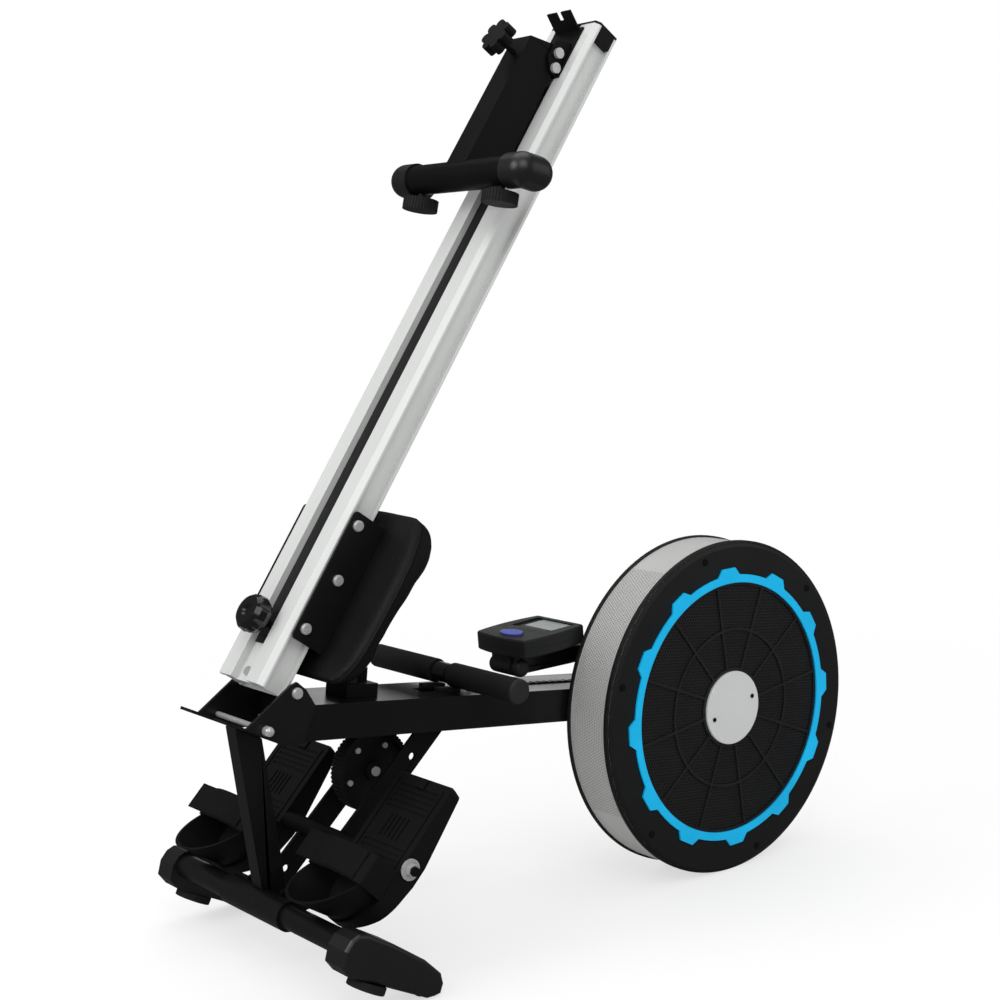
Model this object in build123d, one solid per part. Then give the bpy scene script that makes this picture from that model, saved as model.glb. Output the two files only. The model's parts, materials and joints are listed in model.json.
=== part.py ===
"""Folding air rower in its stored position: rail up, standing on its transport wheels and fan rim.

Millimetres, +Z up, floor at z = 0, the fan toward +X, the side that carries the fan toward -Y.
Each piece is modelled in the frame of its sub-assembly and written to parts/ as one STEP file.
"""
from build123d import *
import math
import os

# Fits
RUN = 0.05
PLAY = 0.4
SIDE_GAP = 1.0

# Beam frame: origin on the hinge axis, x along the beam toward the fan, z square to its top
BEAM_START = 20.0
BEAM_END = 750.0
BEAM_HALF = 57.5
BEAM_TOP = -17.5
BEAM_DEEP = 47.0
BEAM_WALL = 3.0
SLOT_START = 236.0
SLOT_END = 742.0
SLOT_HALF = 13.0
SPROCKET_WINDOW = 31.0

# Hinge housing; the level frame is the beam frame turned by this angle, as the machine stands in use
USE_TURN = 20.2
CHEEK = 4.5
CHEEK_OUTLINE = (
    (-72.0, -43.0), (-17.0, -66.0), (15.0, -65.0), (30.0, -17.4), (14.0, 4.0), (0.0, 14.0), (-10.0, 10.0))
TONGUE_END = -80.8
TONGUE_FRONT = 7.0
TONGUE_TOP = -63.4
TONGUE_THICK = 4.0
NOTCH_HALF = 29.0
NOTCH_FRONT = -34.0
PIVOT_R = 5.0
BOLT_HEAD_R = 7.5
BOLT_HEAD = 5.0
PIN_X = -42.3
PIN_Z = -45.4
PIN_R = 4.0
PIN_COLLAR_R = 6.5
PIN_COLLAR = 4.0
PIN_TAIL = 4.0

# Front legs
STRUT_TOP = (-61.0, -37.5)
STRUT_LEAN = 14.4
STRUT_LONG = 260.0
STRUT_DEEP = 36.0
STRUT_HALF = 12.0
TUBE_X = 102.0
TUBE_Z = -267.0
TUBE_R = 16.0
TUBE_WALL = 2.0
SLEEVE_R = 20.0
SLEEVE_HALF = 72.0
BOOT_OUTER = 234.0
BOOT_WIDE = 40.0
BOOT_INNER = BOOT_OUTER - BOOT_WIDE
BOOT_END = 8.0
TUBE_HALF = BOOT_OUTER - BOOT_END
BOOT_EDGE = 6.0
BOOT_OUTLINE = (
    (80.0, -272.0), (84.0, -257.0), (92.0, -248.0), (104.0, -245.0), (150.0, -248.0), (205.0, -256.0),
    (236.0, -266.0), (245.0, -277.0), (246.0, -290.0), (238.0, -295.5), (228.0, -300.0), (100.0, -300.0),
    (84.0, -292.0))
LOUVRES = 4
LOUVRE_START = 160.0
LOUVRE_PITCH = 9.0
LOUVRE_WIDE = 3.0
LOUVRE_DEPTH = 2.0
LOUVRE_HALF = 9.0
LOUVRE_DIP = 8.3
WHEEL_X = 222.0
WHEEL_Z = -284.0
WHEEL_R = 18.0
WHEEL_HALF = 7.0
WHEEL_PIN_R = 4.0
POCKET_ROOM = 3.0
FOOT_X = 142.0
FOOT_R = 25.0
FOOT_THICK = 10.6
FOOT_STUD_R = 5.0
FOOT_STUD = 24.0
FOOT_EDGE = 1.5

# Pedals
BAR_IN = 37.5
BAR_THICK = 5.0
BAR_HALF = 18.5
BAR_SLOPE = 51.9
BAR_HOLE_UP = (204.0, -99.7)
BAR_HOLE_LOW = (64.8, -257.4)
BAR_HOLE_R = 5.0
BAR_FOOT = ((66.0, -286.0), (8.0, -302.0), (8.0, -262.0))
AXLE_X = 93.8
AXLE_Z = -203.7
AXLE_R = 6.0
CROSS_R = 12.0
PEDAL_Y = 140.0
PEDAL_HALF = 58.0
PEDAL_TOP = 11.5
PEDAL_TOE = 116.0
HEEL_TIP = -99.5
PEDAL_SIDE = (
    (HEEL_TIP, PEDAL_TOP), (114.0, PEDAL_TOP), (PEDAL_TOE, 7.0), (111.0, -6.0), (60.0, -14.0), (14.0, -21.0),
    (-14.0, -21.0), (-70.0, -12.0), (HEEL_TIP, -2.0))
HEEL_CUP_R = 46.0
HEEL_LEDGE = 2.5
HEEL_CUP_FRONT = -26.0
HEEL_CUP_TALL = 70.0
HEEL_CUP_WALL = 3.5
HEEL_FLARE = 13.0
HEEL_RIM_FRONT = 22.5
PEDAL_WALL = 4.0
PEDAL_SKIN = 5.0
CAVITY_BACK = -50.0
CAVITY_FRONT = 108.0
BOSS_R = 11.0
TOE_CORNER = 9.0
TREAD_DEPTH = 1.4
TREAD_WIDE = 3.6
TREAD_HALF = 41.0
TREAD_PITCH = 8.0
TREAD_TOE = 64.0
TREAD_MID = -20.0
TREAD_COUNT = 5
PANEL_FROM = 24.0
PANEL_TO = 56.0
PANEL_PITCH = 9.0
BORDER = 49.0
BORDER_BACK = -24.0
BORDER_FRONT = 106.0
TOE_TAB_BACK = 99.0
TOE_TAB_HALF = 9.0
TOE_TAB_RISE = 2.6
STRAP_BACK = -54.0
STRAP_FRONT = -12.0
STRAP_THICK = 2.5
STRAP_SHOULDER = 54.0
STRAP_CROWN = 66.0
WASHER_R = 14.0
WASHER_THICK = 2.5
NUT_SIDES = 6
NUT_R = 9.0
NUT_THICK = 7.0
STUD_PROUD = 4.0

# Return pulley
PULLEY_X = 166.0
PULLEY_Z = -123.0
PULLEY_R = 57.0
PULLEY_HALF = 11.0
PULLEY_RIBS = 60
PULLEY_RIB_DEPTH = 1.4
PULLEY_WEB = 3.0
PULLEY_RIM = 7.0
PULLEY_BOLTS = 5
PULLEY_BOLT_AT = 38.0
PULLEY_BOLT_TURN = 12.0
PULLEY_BOLT_R = 4.0
PULLEY_BOLT_PROUD = 3.0
PULLEY_HUB_R = 13.0
STUB_R = 4.0
STUB_HEAD_R = 6.5
STUB_HEAD = 3.0
HANGER_THICK = 4.0
HANGER_HALF = 18.0

# Block, knob and pads on the beam
BLOCK_START = 102.0
BLOCK_END = 152.0
BLOCK_HALF = 25.0
BLOCK_TOP = 0.0
BLOCK_KNOB_X = 138.0
BLOCK_KNOB_Y = 4.0
BLOCK_KNOB_R = 13.0
BLOCK_KNOB_TALL = 18.0
BLOCK_KNOB_RIBS = 16
BLOCK_KNOB_RIB = 1.2
STUD_R = 4.0
STUD_TIP = 4.0
STUD_DEEP = 14.0
BUFFER_X = 115.0
BUFFER_Y = -8.0
BUFFER_GAP = 0.6
BUFFER_TALL = 6.0
REST_START = 258.0
REST_END = 294.0
REST_IN = 11.0

# Handle and chain
HANDLE_X = 284.5
HANDLE_Z = 5.0
HANDLE_HALF = 160.0
HANDLE_BAR_R = 10.0
GRIP_R = 17.0
GRIP_IN = 18.0
GRIP_CAP = 5.0
CLEVIS_IN = 4.4
CLEVIS_THICK = 2.6
CLEVIS_R = 7.0
CLEVIS_COLLAR_R = 14.0
CLEVIS_COLLAR_HALF = 14.0
CHAIN_PITCH = 12.7
CHAIN_RUN = 27
CHAIN_RISE = 4
CHAIN_RISE_ANGLE = 15.0
CHAIN_WRAP = 4
CHAIN_PLATE = 4.2
CHAIN_NECK = 3.2
CHAIN_ROLLER = 3.9
CHAIN_IN = 1.7
CHAIN_OUT = 3.7
TEETH = 11
TOOTH_TIP = 3.4
SPROCKET_HALF = 1.5
SPROCKET_HUB_R = 14.0
SPROCKET_HUB_HALF = 10.0

# Fan
FAN_X = 712.0
FAN_Z = -41.5
FAN_R = 250.0
FAN_FACE = -150.0
COVER_SKIN = 3.0
RIM_DEPTH = 10.0
RIM_SKIN = 3.0
RIM_BEVEL = 9.0
RIM_BEVEL_DEEP = 5.0
BAND_THICK = 1.2
RING_IN = 188.0
RING_BASE = 200.0
RING_TIP = 211.0
RING_TEETH = 12
RING_TURN = -8.3
RING_THICK = 3.0
TOOTH_BASE_HALF = 7.2
TOOTH_TIP_HALF = 3.6
MESH_THICK = 0.8
RIB_HALF = 2.0
MID_RING = 120.0
RING_BAR = 4.0
HUB_DISC = 60.0
HUB_CAP_R = 55.0
HUB_CAP_THICK = 3.5
HUB_CAP_EDGE = 1.2
HUB_SCREW_AT = 42.0
HUB_SCREW_TURN = -22.5
SCREW_R = 3.2
SCREW_HEAD = 1.2
POSTS = 6
POST_AT = 231.0
POST_R = 5.0
POST_TURN = 10.0
FAR_HOLE = 30.0
WINDOWS = 12
WINDOW_IN = 90.0
WINDOW_OUT = 200.0
WINDOW_HALF = 16.0
MOUNT_BOLTS = ((650.0, -27.0), (650.0, -56.0), (737.0, -27.0), (737.0, -56.0))
FAN_AXLE_R = 8.0
SHOULDER_R = 11.0
SHOULDER_END = -73.0
AXLE_NUT_R = 12.0
AXLE_NUT = 6.0
AXLE_COLLAR_R = 14.0
AXLE_COLLAR = 6.0
BEARING_R = 14.0
BEARING_IN = 7.0
FLANGE_R = 18.0
FLANGE = 2.0
WHEEL_HUB_R = 28.0
WHEEL_HUB_END = -139.0
WHEEL_DISC_R = 205.0
WHEEL_DISC = 3.0
VANES = 20
VANE_IN = 100.0
VANE_HALF = 1.0
VANE_END = -136.0
VANE_RING = 10.0

# Console frame: origin on the front top edge, x up along the top face
CONSOLE_X = 373.0
CONSOLE_Z = 52.8
CONSOLE_TILT = 10.5
CASE_LONG = 122.0
CASE_FRONT_HALF = 54.0
CASE_MID_HALF = 59.5
CASE_BACK_HALF = 51.0
CASE_BOW = 6.0
CASE_MID = 66.0
CASE_DEEP = 27.0
CASE_SEAM = 14.0
CASE_EDGE = 2.0
CASE_CORNER = 5.0
LENS_START = 60.0
LENS_END = 113.0
LENS_HALF = 40.0
LENS_DEEP = 3.5
LENS_THICK = 1.5
BUTTON_X = 28.0
BUTTON_LONG = 13.0
BUTTON_WIDE = 21.0
BUTTON_PROUD = 1.8
BUTTON_BODY = 4.0
BUTTON_WELL = 8.0
BARREL_X = 400.0
BARREL_Z = 10.5
BARREL_R = 13.0
BARREL_NEAR = -34.0
BARREL_FAR = 35.0
BARREL_ROUND = 8.0
SADDLE_HALF = 9.0
ARM_FAR = -16.0
ARM_THICK = 5.0
ARM_EYE = 11.0
ARM_HALF = 13.0
ARM_REACH = (572.0, 36.0)
ARM_LEG_HALF = 14.0
ARM_FOOT = 40.0
ARM_FOOT_THICK = 3.0
CONSOLE_PIN_R = 4.0

# Rail frame: origin on the hinge axis, x along the rail, z toward its slotted face
RAIL_ANGLE = 62.0
RAIL_START = -13.0
RAIL_END = 1027.0
RAIL_HALF = 53.0
RAIL_SEAT_FACE = 8.5
RAIL_SLOT_FACE = 51.0
RAIL_CHAMFER = 6.6
RAIL_SLOT_HALF = 18.0
RAIL_SLOT_FLOOR = 40.0
TRACK_LOW = 12.4
TRACK_HIGH = 41.0
TRACK_FLOOR = 43.0
RAIL_SKIN = 3.0
LINER_START = 41.0
LINER_END = 930.0
LINER_THICK = 1.5
LINER_HALF = 17.8
PLUG_FLANGE = 4.0
PLUG_STOP = 22.0
LUG_END = 45.0
LUG_HALF = 48.0
LUG_THICK = 3.0
LUG_BARREL_R = 8.0
LUG_BARREL_HALF = 57.0
GROOVE_BOLT_X = 1.0
GROOVE_BOLT_R = 6.0
GROOVE_BOLT_HEAD = 4.0
CLAMP_X = 68.0
CLAMP_NECK_R = 6.0
CLAMP_WASHER_R = 17.0
CLAMP_WASHER = 2.0
CLAMP_PROFILE = (
    (0.0, 58.0), (12.0, 58.0), (22.0, 62.0), (26.0, 70.0), (25.0, 80.0), (20.0, 86.0), (9.0, 86.0),
    (6.0, 83.0), (0.0, 83.0))
CLAMP_LOBES = 6
CLAMP_SCALLOP_R = 10.0
CLAMP_SCALLOP_AT = 33.0
CLAMP_STUD = 30.0

# Rear leg
LEG_X = 962.0
LEG_Z = 68.0
LEG_OPEN = 112.0
LEG_HALF = 21.0
LEG_INNER = 57.0
LEG_OUTER = 118.0
LEG_END_CLEAR = 12.0
LEG_BOLT_R = 4.0
EAR = 3.0
EAR_OUTLINE = ((932.0, 54.0), (990.0, 54.0), (976.0, 80.0), (948.0, 80.0), (932.0, 66.0))
PLATE_START = 932.0
PLATE_END = 1020.0
PLATE_HALF = 30.0
PLATE_THICK = 3.0
TAB_GAP = 3.0
TAB_THICK = 3.0
TAB_HALF = 25.0
TAB_TIP = 38.0
TAB_SLOT_HALF = 4.7
TAB_SLOT = 13.0
STOP_BOLT_X = 941.0
STAR_X = 928.0
STAR_BASE = 136.0
STAR_TALL = 22.0
STAR_R = 18.0
STAR_LOBE_R = 7.2
STAR_LOBES = 7
STAR_HUB_R = 12.0
STAR_HUB = 5.0
REAR_X = 733.0
REAR_Z = 98.0
REAR_TUBE_R = 21.0
REAR_TUBE_HALF = 126.0
LEG_WALL = 2.5
LEG_SOLID = 24.0
REAR_BOOT_IN = 104.0
REAR_BOOT_Y = 128.0
REAR_BOOT_R = 24.0
REAR_ELBOW = 21.0
REAR_FOOT_Y = 89.0
REAR_FOOT_NEAR = 28.0
REAR_FOOT_FAR = 44.0
REAR_FOOT_RIBS = 36
REAR_RIB_R = 1.2

# Seat
SEAT_START = 58.0
SEAT_END = 242.0
SEAT_PLATE_IN = 58.0
SEAT_PLATE = 3.0
SEAT_PLATE_TOP = -9.0
SEAT_PLATE_LOW = 45.0
SEAT_CORNER = 6.0
ROLLER_R = 9.0
ROLLER_IN = 44.0
ROLLER_OUT = 52.6
ROLLER_X = (76.0, 151.0, 225.6)
SHOULDER_BOLT_R = 6.0
SEAT_BOLT_R = 4.0
CUSHION_STATIONS = (25.0, 34.0, 60.0, 110.0, 170.0, 225.0, 256.0, 270.0)
CUSHION_WIDTHS = (108.0, 124.0, 138.0, 144.0, 147.0, 144.0, 132.0, 112.0)
CUSHION_TOPS = (-24.0, -36.0, -44.0, -47.0, -51.0, -55.0, -50.0, -34.0)
CUSHION_TUCK = 12.0
CUSHION_CROWN = 7.0
CUSHION_BULGE = 0.45


def side_box(x0, x1, y0, y1, z0, z1):
    """Box between two corners."""
    centre = Pos((x0 + x1) / 2, (y0 + y1) / 2, (z0 + z1) / 2)
    return centre * Box(abs(x1 - x0), abs(y1 - y0), abs(z1 - z0))


def rod(start, end, radius):
    """Cylinder between two points."""
    line = Vector(*end) - Vector(*start)
    return Solid.make_cylinder(radius, line.length, Plane(origin=start, z_dir=line))


def cross_rod(x, z, y0, y1, radius):
    """Cylinder across the machine at a side-view point."""
    return rod((x, min(y0, y1), z), (x, max(y0, y1), z), radius)


def slab(outline, y0, y1):
    """Plate with its outline in the side view."""
    low = min(y0, y1)
    corners = [(x, low, z) for x, z in outline]
    return extrude(make_face(Polyline(*corners, close=True)), abs(y1 - y0), dir=(0, 1, 0))


def spun(profile):
    """Turned solid about Z from points of radius and height."""
    corners = [(radius, 0, height) for radius, height in profile]
    return revolve(make_face(Polyline(*corners, close=True)), Axis.Z)


def disc_about_y(x, z, profile):
    """Turned solid about a cross axis from points of radius and lateral station."""
    corners = [(x + radius, y, z) for radius, y in profile]
    return revolve(make_face(Polyline(*corners, close=True)), Axis((x, 0, z), (0, 1, 0)))


def around_y(x, z, degrees):
    """Turn about a cross axis at a side-view point."""
    return Pos(x, 0, z) * Rot(0, degrees, 0) * Pos(-x, 0, -z)


def both(maker):
    """Near and far copies of a piece."""
    return Compound(children=[maker(-1), maker(1)])


def turned_point(x, z, degrees):
    """Side-view point after a turn about the cross axis through the origin."""
    angle = math.radians(degrees)
    return (x * math.cos(angle) + z * math.sin(angle), z * math.cos(angle) - x * math.sin(angle))


# The floor touches both the fan rim and the transport wheels, which sets the dip of the beam
wheel_at = turned_point(WHEEL_X, WHEEL_Z, USE_TURN)
reach = math.hypot(FAN_X - wheel_at[0], FAN_Z - wheel_at[1])
bearing = math.degrees(math.atan2(FAN_X - wheel_at[0], FAN_Z - wheel_at[1]))
DIP = math.degrees(math.acos((FAN_R - WHEEL_R) / reach)) - bearing
fan_low = turned_point(FAN_X, FAN_Z, DIP)
tongue_low = turned_point(TONGUE_END, TONGUE_TOP - TONGUE_THICK, DIP + USE_TURN)
PIVOT_Z = FAN_R - fan_low[1]
PIVOT_X = -(fan_low[0] + FAN_R + tongue_low[0]) / 2

BEAM = Location((PIVOT_X, 0, PIVOT_Z), (0, DIP, 0))
LEVEL = BEAM * Location((0, 0, 0), (0, USE_TURN, 0))
RAIL = BEAM * Location((0, 0, 0), (0, -RAIL_ANGLE, 0))
PEDAL = BEAM * Location((AXLE_X, 0, AXLE_Z), (0, -BAR_SLOPE, 0))
CONSOLE = BEAM * Location((CONSOLE_X, 0, CONSOLE_Z), (0, -CONSOLE_TILT, 0))
pieces = {}

# Main beam with the chain slot, the sprocket window and the pulley hanger
BEAM_BOTTOM = BEAM_TOP - BEAM_DEEP
beam = side_box(BEAM_START, BEAM_END, -BEAM_HALF, BEAM_HALF, BEAM_BOTTOM, BEAM_TOP)
beam -= side_box(BEAM_START + BEAM_WALL, BEAM_END - BEAM_WALL, BEAM_WALL - BEAM_HALF, BEAM_HALF - BEAM_WALL,
                 BEAM_BOTTOM + BEAM_WALL, BEAM_TOP - BEAM_WALL)
beam -= side_box(SLOT_START, SLOT_END, -SLOT_HALF, SLOT_HALF, BEAM_TOP - BEAM_WALL, BEAM_TOP)
beam -= side_box(FAN_X - SPROCKET_WINDOW, SLOT_END, -SLOT_HALF, SLOT_HALF, BEAM_BOTTOM,
                 BEAM_BOTTOM + BEAM_WALL)
beam -= cross_rod(FAN_X, FAN_Z, -BEAM_HALF, BEAM_HALF, BEARING_R + RUN)
for bolt_x, bolt_z in MOUNT_BOLTS:
    beam -= cross_rod(bolt_x, bolt_z, -BEAM_HALF, BEAM_WALL - BEAM_HALF, SCREW_R + RUN)
hanger_in = PULLEY_HALF + SIDE_GAP
hanger_out = hanger_in + HANGER_THICK
beam += side_box(PULLEY_X - HANGER_HALF, PULLEY_X + HANGER_HALF, hanger_in, hanger_out, PULLEY_Z,
                 BEAM_BOTTOM)
beam += cross_rod(PULLEY_X, PULLEY_Z, hanger_in, hanger_out, HANGER_HALF)
beam += cross_rod(PULLEY_X, PULLEY_Z, -hanger_in - STUB_HEAD, hanger_in, STUB_R)
beam += cross_rod(PULLEY_X, PULLEY_Z, -hanger_in - STUB_HEAD, -hanger_in, STUB_HEAD_R)
pieces["main_beam"] = BEAM * beam

# Hinge housing: two cheeks welded to the beam sides, the forked tongue between them
LEVEL_IN_BEAM = Location((0, 0, 0), (0, USE_TURN, 0))
tongue_low_face = TONGUE_TOP - TONGUE_THICK
tongue = side_box(TONGUE_END, TONGUE_FRONT, -BEAM_HALF, BEAM_HALF, tongue_low_face, TONGUE_TOP)
tongue -= side_box(TONGUE_END, NOTCH_FRONT, -NOTCH_HALF, NOTCH_HALF, tongue_low_face, TONGUE_TOP)
housing = LEVEL_IN_BEAM * tongue
for side in (-1, 1):
    cheek = slab(CHEEK_OUTLINE, side * BEAM_HALF, side * (BEAM_HALF + CHEEK))
    cheek -= cross_rod(0, 0, side * BEAM_HALF, side * (BEAM_HALF + CHEEK), PIVOT_R + RUN)
    cheek -= cross_rod(PIN_X, PIN_Z, side * BEAM_HALF, side * (BEAM_HALF + CHEEK), PIN_R + RUN)
    housing += cheek
pieces["hinge_housing"] = BEAM * housing

cheek_face = BEAM_HALF + CHEEK
pivot_bolt = cross_rod(0, 0, -cheek_face, cheek_face, PIVOT_R)
for side in (-1, 1):
    head = cross_rod(0, 0, side * cheek_face, side * (cheek_face + BOLT_HEAD), BOLT_HEAD_R)
    outer = head.faces().sort_by(Axis.Y)[0 if side < 0 else -1]
    pivot_bolt += fillet(outer.edges(), BOLT_HEAD / 2)
pieces["pivot_bolt"] = BEAM * pivot_bolt

lock_pin = cross_rod(PIN_X, PIN_Z, -cheek_face, cheek_face + PIN_TAIL, PIN_R)
lock_pin += cross_rod(PIN_X, PIN_Z, -cheek_face - PLAY - PIN_COLLAR, -cheek_face - PLAY, PIN_COLLAR_R)
lock_pin += cross_rod(PIN_X, PIN_Z, -cheek_face - PLAY - PIN_COLLAR, -cheek_face, PIN_R)
lock_pin += Pos(PIN_X, -cheek_face - PLAY - PIN_COLLAR - PIN_COLLAR_R / 2, PIN_Z) * Sphere(PIN_COLLAR_R)
pieces["lock_pin"] = BEAM * lock_pin

# Front strut and stabiliser
lean = math.radians(STRUT_LEAN)
down = (math.sin(lean), -math.cos(lean))
ahead = (math.cos(lean), math.sin(lean))
strut_foot = (STRUT_TOP[0] + down[0] * STRUT_LONG, STRUT_TOP[1] + down[1] * STRUT_LONG)
strut_outline = (
    STRUT_TOP, strut_foot,
    (strut_foot[0] + ahead[0] * STRUT_DEEP, strut_foot[1] + ahead[1] * STRUT_DEEP),
    (STRUT_TOP[0] + ahead[0] * STRUT_DEEP, STRUT_TOP[1] + ahead[1] * STRUT_DEEP))
strut = slab(strut_outline, -STRUT_HALF, STRUT_HALF)
strut -= LEVEL_IN_BEAM * side_box(-STRUT_LONG, STRUT_LONG, -BEAM_HALF, BEAM_HALF, tongue_low_face,
                                  STRUT_LONG)
tube_at = turned_point(TUBE_X, TUBE_Z, USE_TURN)
strut -= cross_rod(tube_at[0], tube_at[1], -SLEEVE_HALF, SLEEVE_HALF, SLEEVE_R)
pieces["front_strut"] = BEAM * strut.solids().sort_by(SortBy.VOLUME)[-1]

stabiliser = cross_rod(TUBE_X, TUBE_Z, -TUBE_HALF, TUBE_HALF, TUBE_R)
stabiliser += cross_rod(TUBE_X, TUBE_Z, -SLEEVE_HALF, SLEEVE_HALF, SLEEVE_R)
stabiliser -= cross_rod(TUBE_X, TUBE_Z, -TUBE_HALF, TUBE_HALF, TUBE_R - TUBE_WALL)
pieces["front_stabiliser"] = LEVEL * stabiliser

BOOT_Y = (BOOT_INNER + BOOT_OUTER) / 2
BOOT_LOW = min(z for _, z in BOOT_OUTLINE)


def stabiliser_boot(side):
    """Moulded boot on one end of the front stabiliser, with its wheel pin."""
    boot = slab(BOOT_OUTLINE, side * BOOT_INNER, side * BOOT_OUTER)
    outer = boot.faces().sort_by(Axis.Y)[0 if side < 0 else -1]
    boot = fillet(outer.edges(), BOOT_EDGE)
    boot -= cross_rod(TUBE_X, TUBE_Z, side * BOOT_INNER, side * TUBE_HALF, TUBE_R)
    room = WHEEL_R + POCKET_ROOM
    half = WHEEL_HALF + SIDE_GAP
    boot -= cross_rod(WHEEL_X, WHEEL_Z, side * (BOOT_Y - half), side * (BOOT_Y + half), room)
    boot -= side_box(WHEEL_X - room, WHEEL_X + 2 * room, side * (BOOT_Y - half), side * (BOOT_Y + half),
                     BOOT_LOW, WHEEL_Z)
    boot += cross_rod(WHEEL_X, WHEEL_Z, side * (BOOT_Y - half), side * (BOOT_Y + half), WHEEL_PIN_R)
    boot -= rod((FOOT_X, side * BOOT_Y, BOOT_LOW), (FOOT_X, side * BOOT_Y, BOOT_LOW + FOOT_STUD + PLAY),
                FOOT_STUD_R + RUN)
    for index in range(LOUVRES):
        x = LOUVRE_START + index * LOUVRE_PITCH
        slit = Box(LOUVRE_WIDE, 2 * LOUVRE_HALF, 2 * LOUVRE_DEPTH)
        drop = (x - BOOT_OUTLINE[4][0]) * math.tan(math.radians(LOUVRE_DIP))
        boot -= Pos(x, side * BOOT_Y, BOOT_OUTLINE[4][1] - drop) * Rot(0, LOUVRE_DIP, 0) * slit
    return boot


pieces["stabiliser_boots"] = LEVEL * both(stabiliser_boot)

for name, side in (("near", -1), ("far", 1)):
    tread = cross_rod(WHEEL_X, WHEEL_Z, side * (BOOT_Y - WHEEL_HALF), side * (BOOT_Y + WHEEL_HALF), WHEEL_R)
    tread = fillet(tread.edges(), FOOT_EDGE)
    tread -= cross_rod(WHEEL_X, WHEEL_Z, side * (BOOT_Y - WHEEL_HALF), side * (BOOT_Y + WHEEL_HALF),
                       WHEEL_PIN_R + RUN)
    pieces["transport_wheel_" + name] = LEVEL * tread
    foot_top = BOOT_LOW - PLAY
    pad = rod((FOOT_X, side * BOOT_Y, foot_top - FOOT_THICK), (FOOT_X, side * BOOT_Y, foot_top), FOOT_R)
    pad = fillet(pad.edges(), FOOT_EDGE)
    pad += rod((FOOT_X, side * BOOT_Y, foot_top), (FOOT_X, side * BOOT_Y, BOOT_LOW + FOOT_STUD),
               FOOT_STUD_R)
    pieces["front_foot_" + name] = LEVEL * pad

# Pedal bars, axle, pedals and straps
slope = math.radians(BAR_SLOPE)
uphill = (math.cos(slope), math.sin(slope))
upward = (-math.sin(slope), math.cos(slope))
bar_rise = (BEAM_BOTTOM - BAR_HOLE_UP[1]) / uphill[1]
bar_top_x = BAR_HOLE_UP[0] + uphill[0] * bar_rise
bar_outline = (
    (bar_top_x - BAR_HALF / uphill[1], BEAM_BOTTOM), (bar_top_x + BAR_HALF / uphill[1], BEAM_BOTTOM),
    (BAR_HOLE_LOW[0] - upward[0] * BAR_HALF, BAR_HOLE_LOW[1] - upward[1] * BAR_HALF),
    *BAR_FOOT,
    (BAR_HOLE_LOW[0] + upward[0] * BAR_HALF, BAR_HOLE_LOW[1] + upward[1] * BAR_HALF))


def pedal_bar(side):
    """Sloping plate from the beam down to the stabiliser sleeve."""
    y0 = side * BAR_IN
    y1 = side * (BAR_IN + BAR_THICK)
    bar = slab(bar_outline, y0, y1)
    bar -= cross_rod(tube_at[0], tube_at[1], y0, y1, SLEEVE_R)
    bar -= cross_rod(AXLE_X, AXLE_Z, y0, y1, CROSS_R)
    for hole_x, hole_z in (BAR_HOLE_UP, BAR_HOLE_LOW):
        bar -= cross_rod(hole_x, hole_z, y0, y1, BAR_HOLE_R)
    return bar


pieces["pedal_bars"] = BEAM * both(pedal_bar)

pedal_inner = PEDAL_Y - PEDAL_HALF
pedal_outer = PEDAL_Y + PEDAL_HALF
washer_in = pedal_outer + SIDE_GAP
nut_in = washer_in + WASHER_THICK
nut_out = nut_in + NUT_THICK
axle = cross_rod(0, 0, PLAY - pedal_inner, pedal_inner - PLAY, CROSS_R)
axle += cross_rod(0, 0, -nut_out - STUD_PROUD, nut_out + STUD_PROUD, AXLE_R)
pieces["pedal_axle"] = PEDAL * axle


def axle_nut(side):
    """Large washer and hexagon nut on one end of the pedal axle."""
    nut = extrude(Plane(origin=(0, side * nut_in, 0), z_dir=(0, side, 0)) * RegularPolygon(NUT_R, NUT_SIDES),
                  NUT_THICK)
    nut += cross_rod(0, 0, side * washer_in, side * nut_in, WASHER_R)
    return nut - cross_rod(0, 0, side * washer_in, side * nut_out, AXLE_R)


pieces["axle_nuts"] = PEDAL * both(axle_nut)


def heel_outline(radius, tip, front):
    """Plan of a heel: half circle from its tip and straight flanks, closed at the front."""
    x = tip + radius
    round_end = ThreePointArc((x, -radius), (tip, 0), (x, radius))
    flanks = Polyline((x, radius), (front, radius), (front, -radius), (x, -radius))
    return make_face([round_end, flanks])


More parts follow.
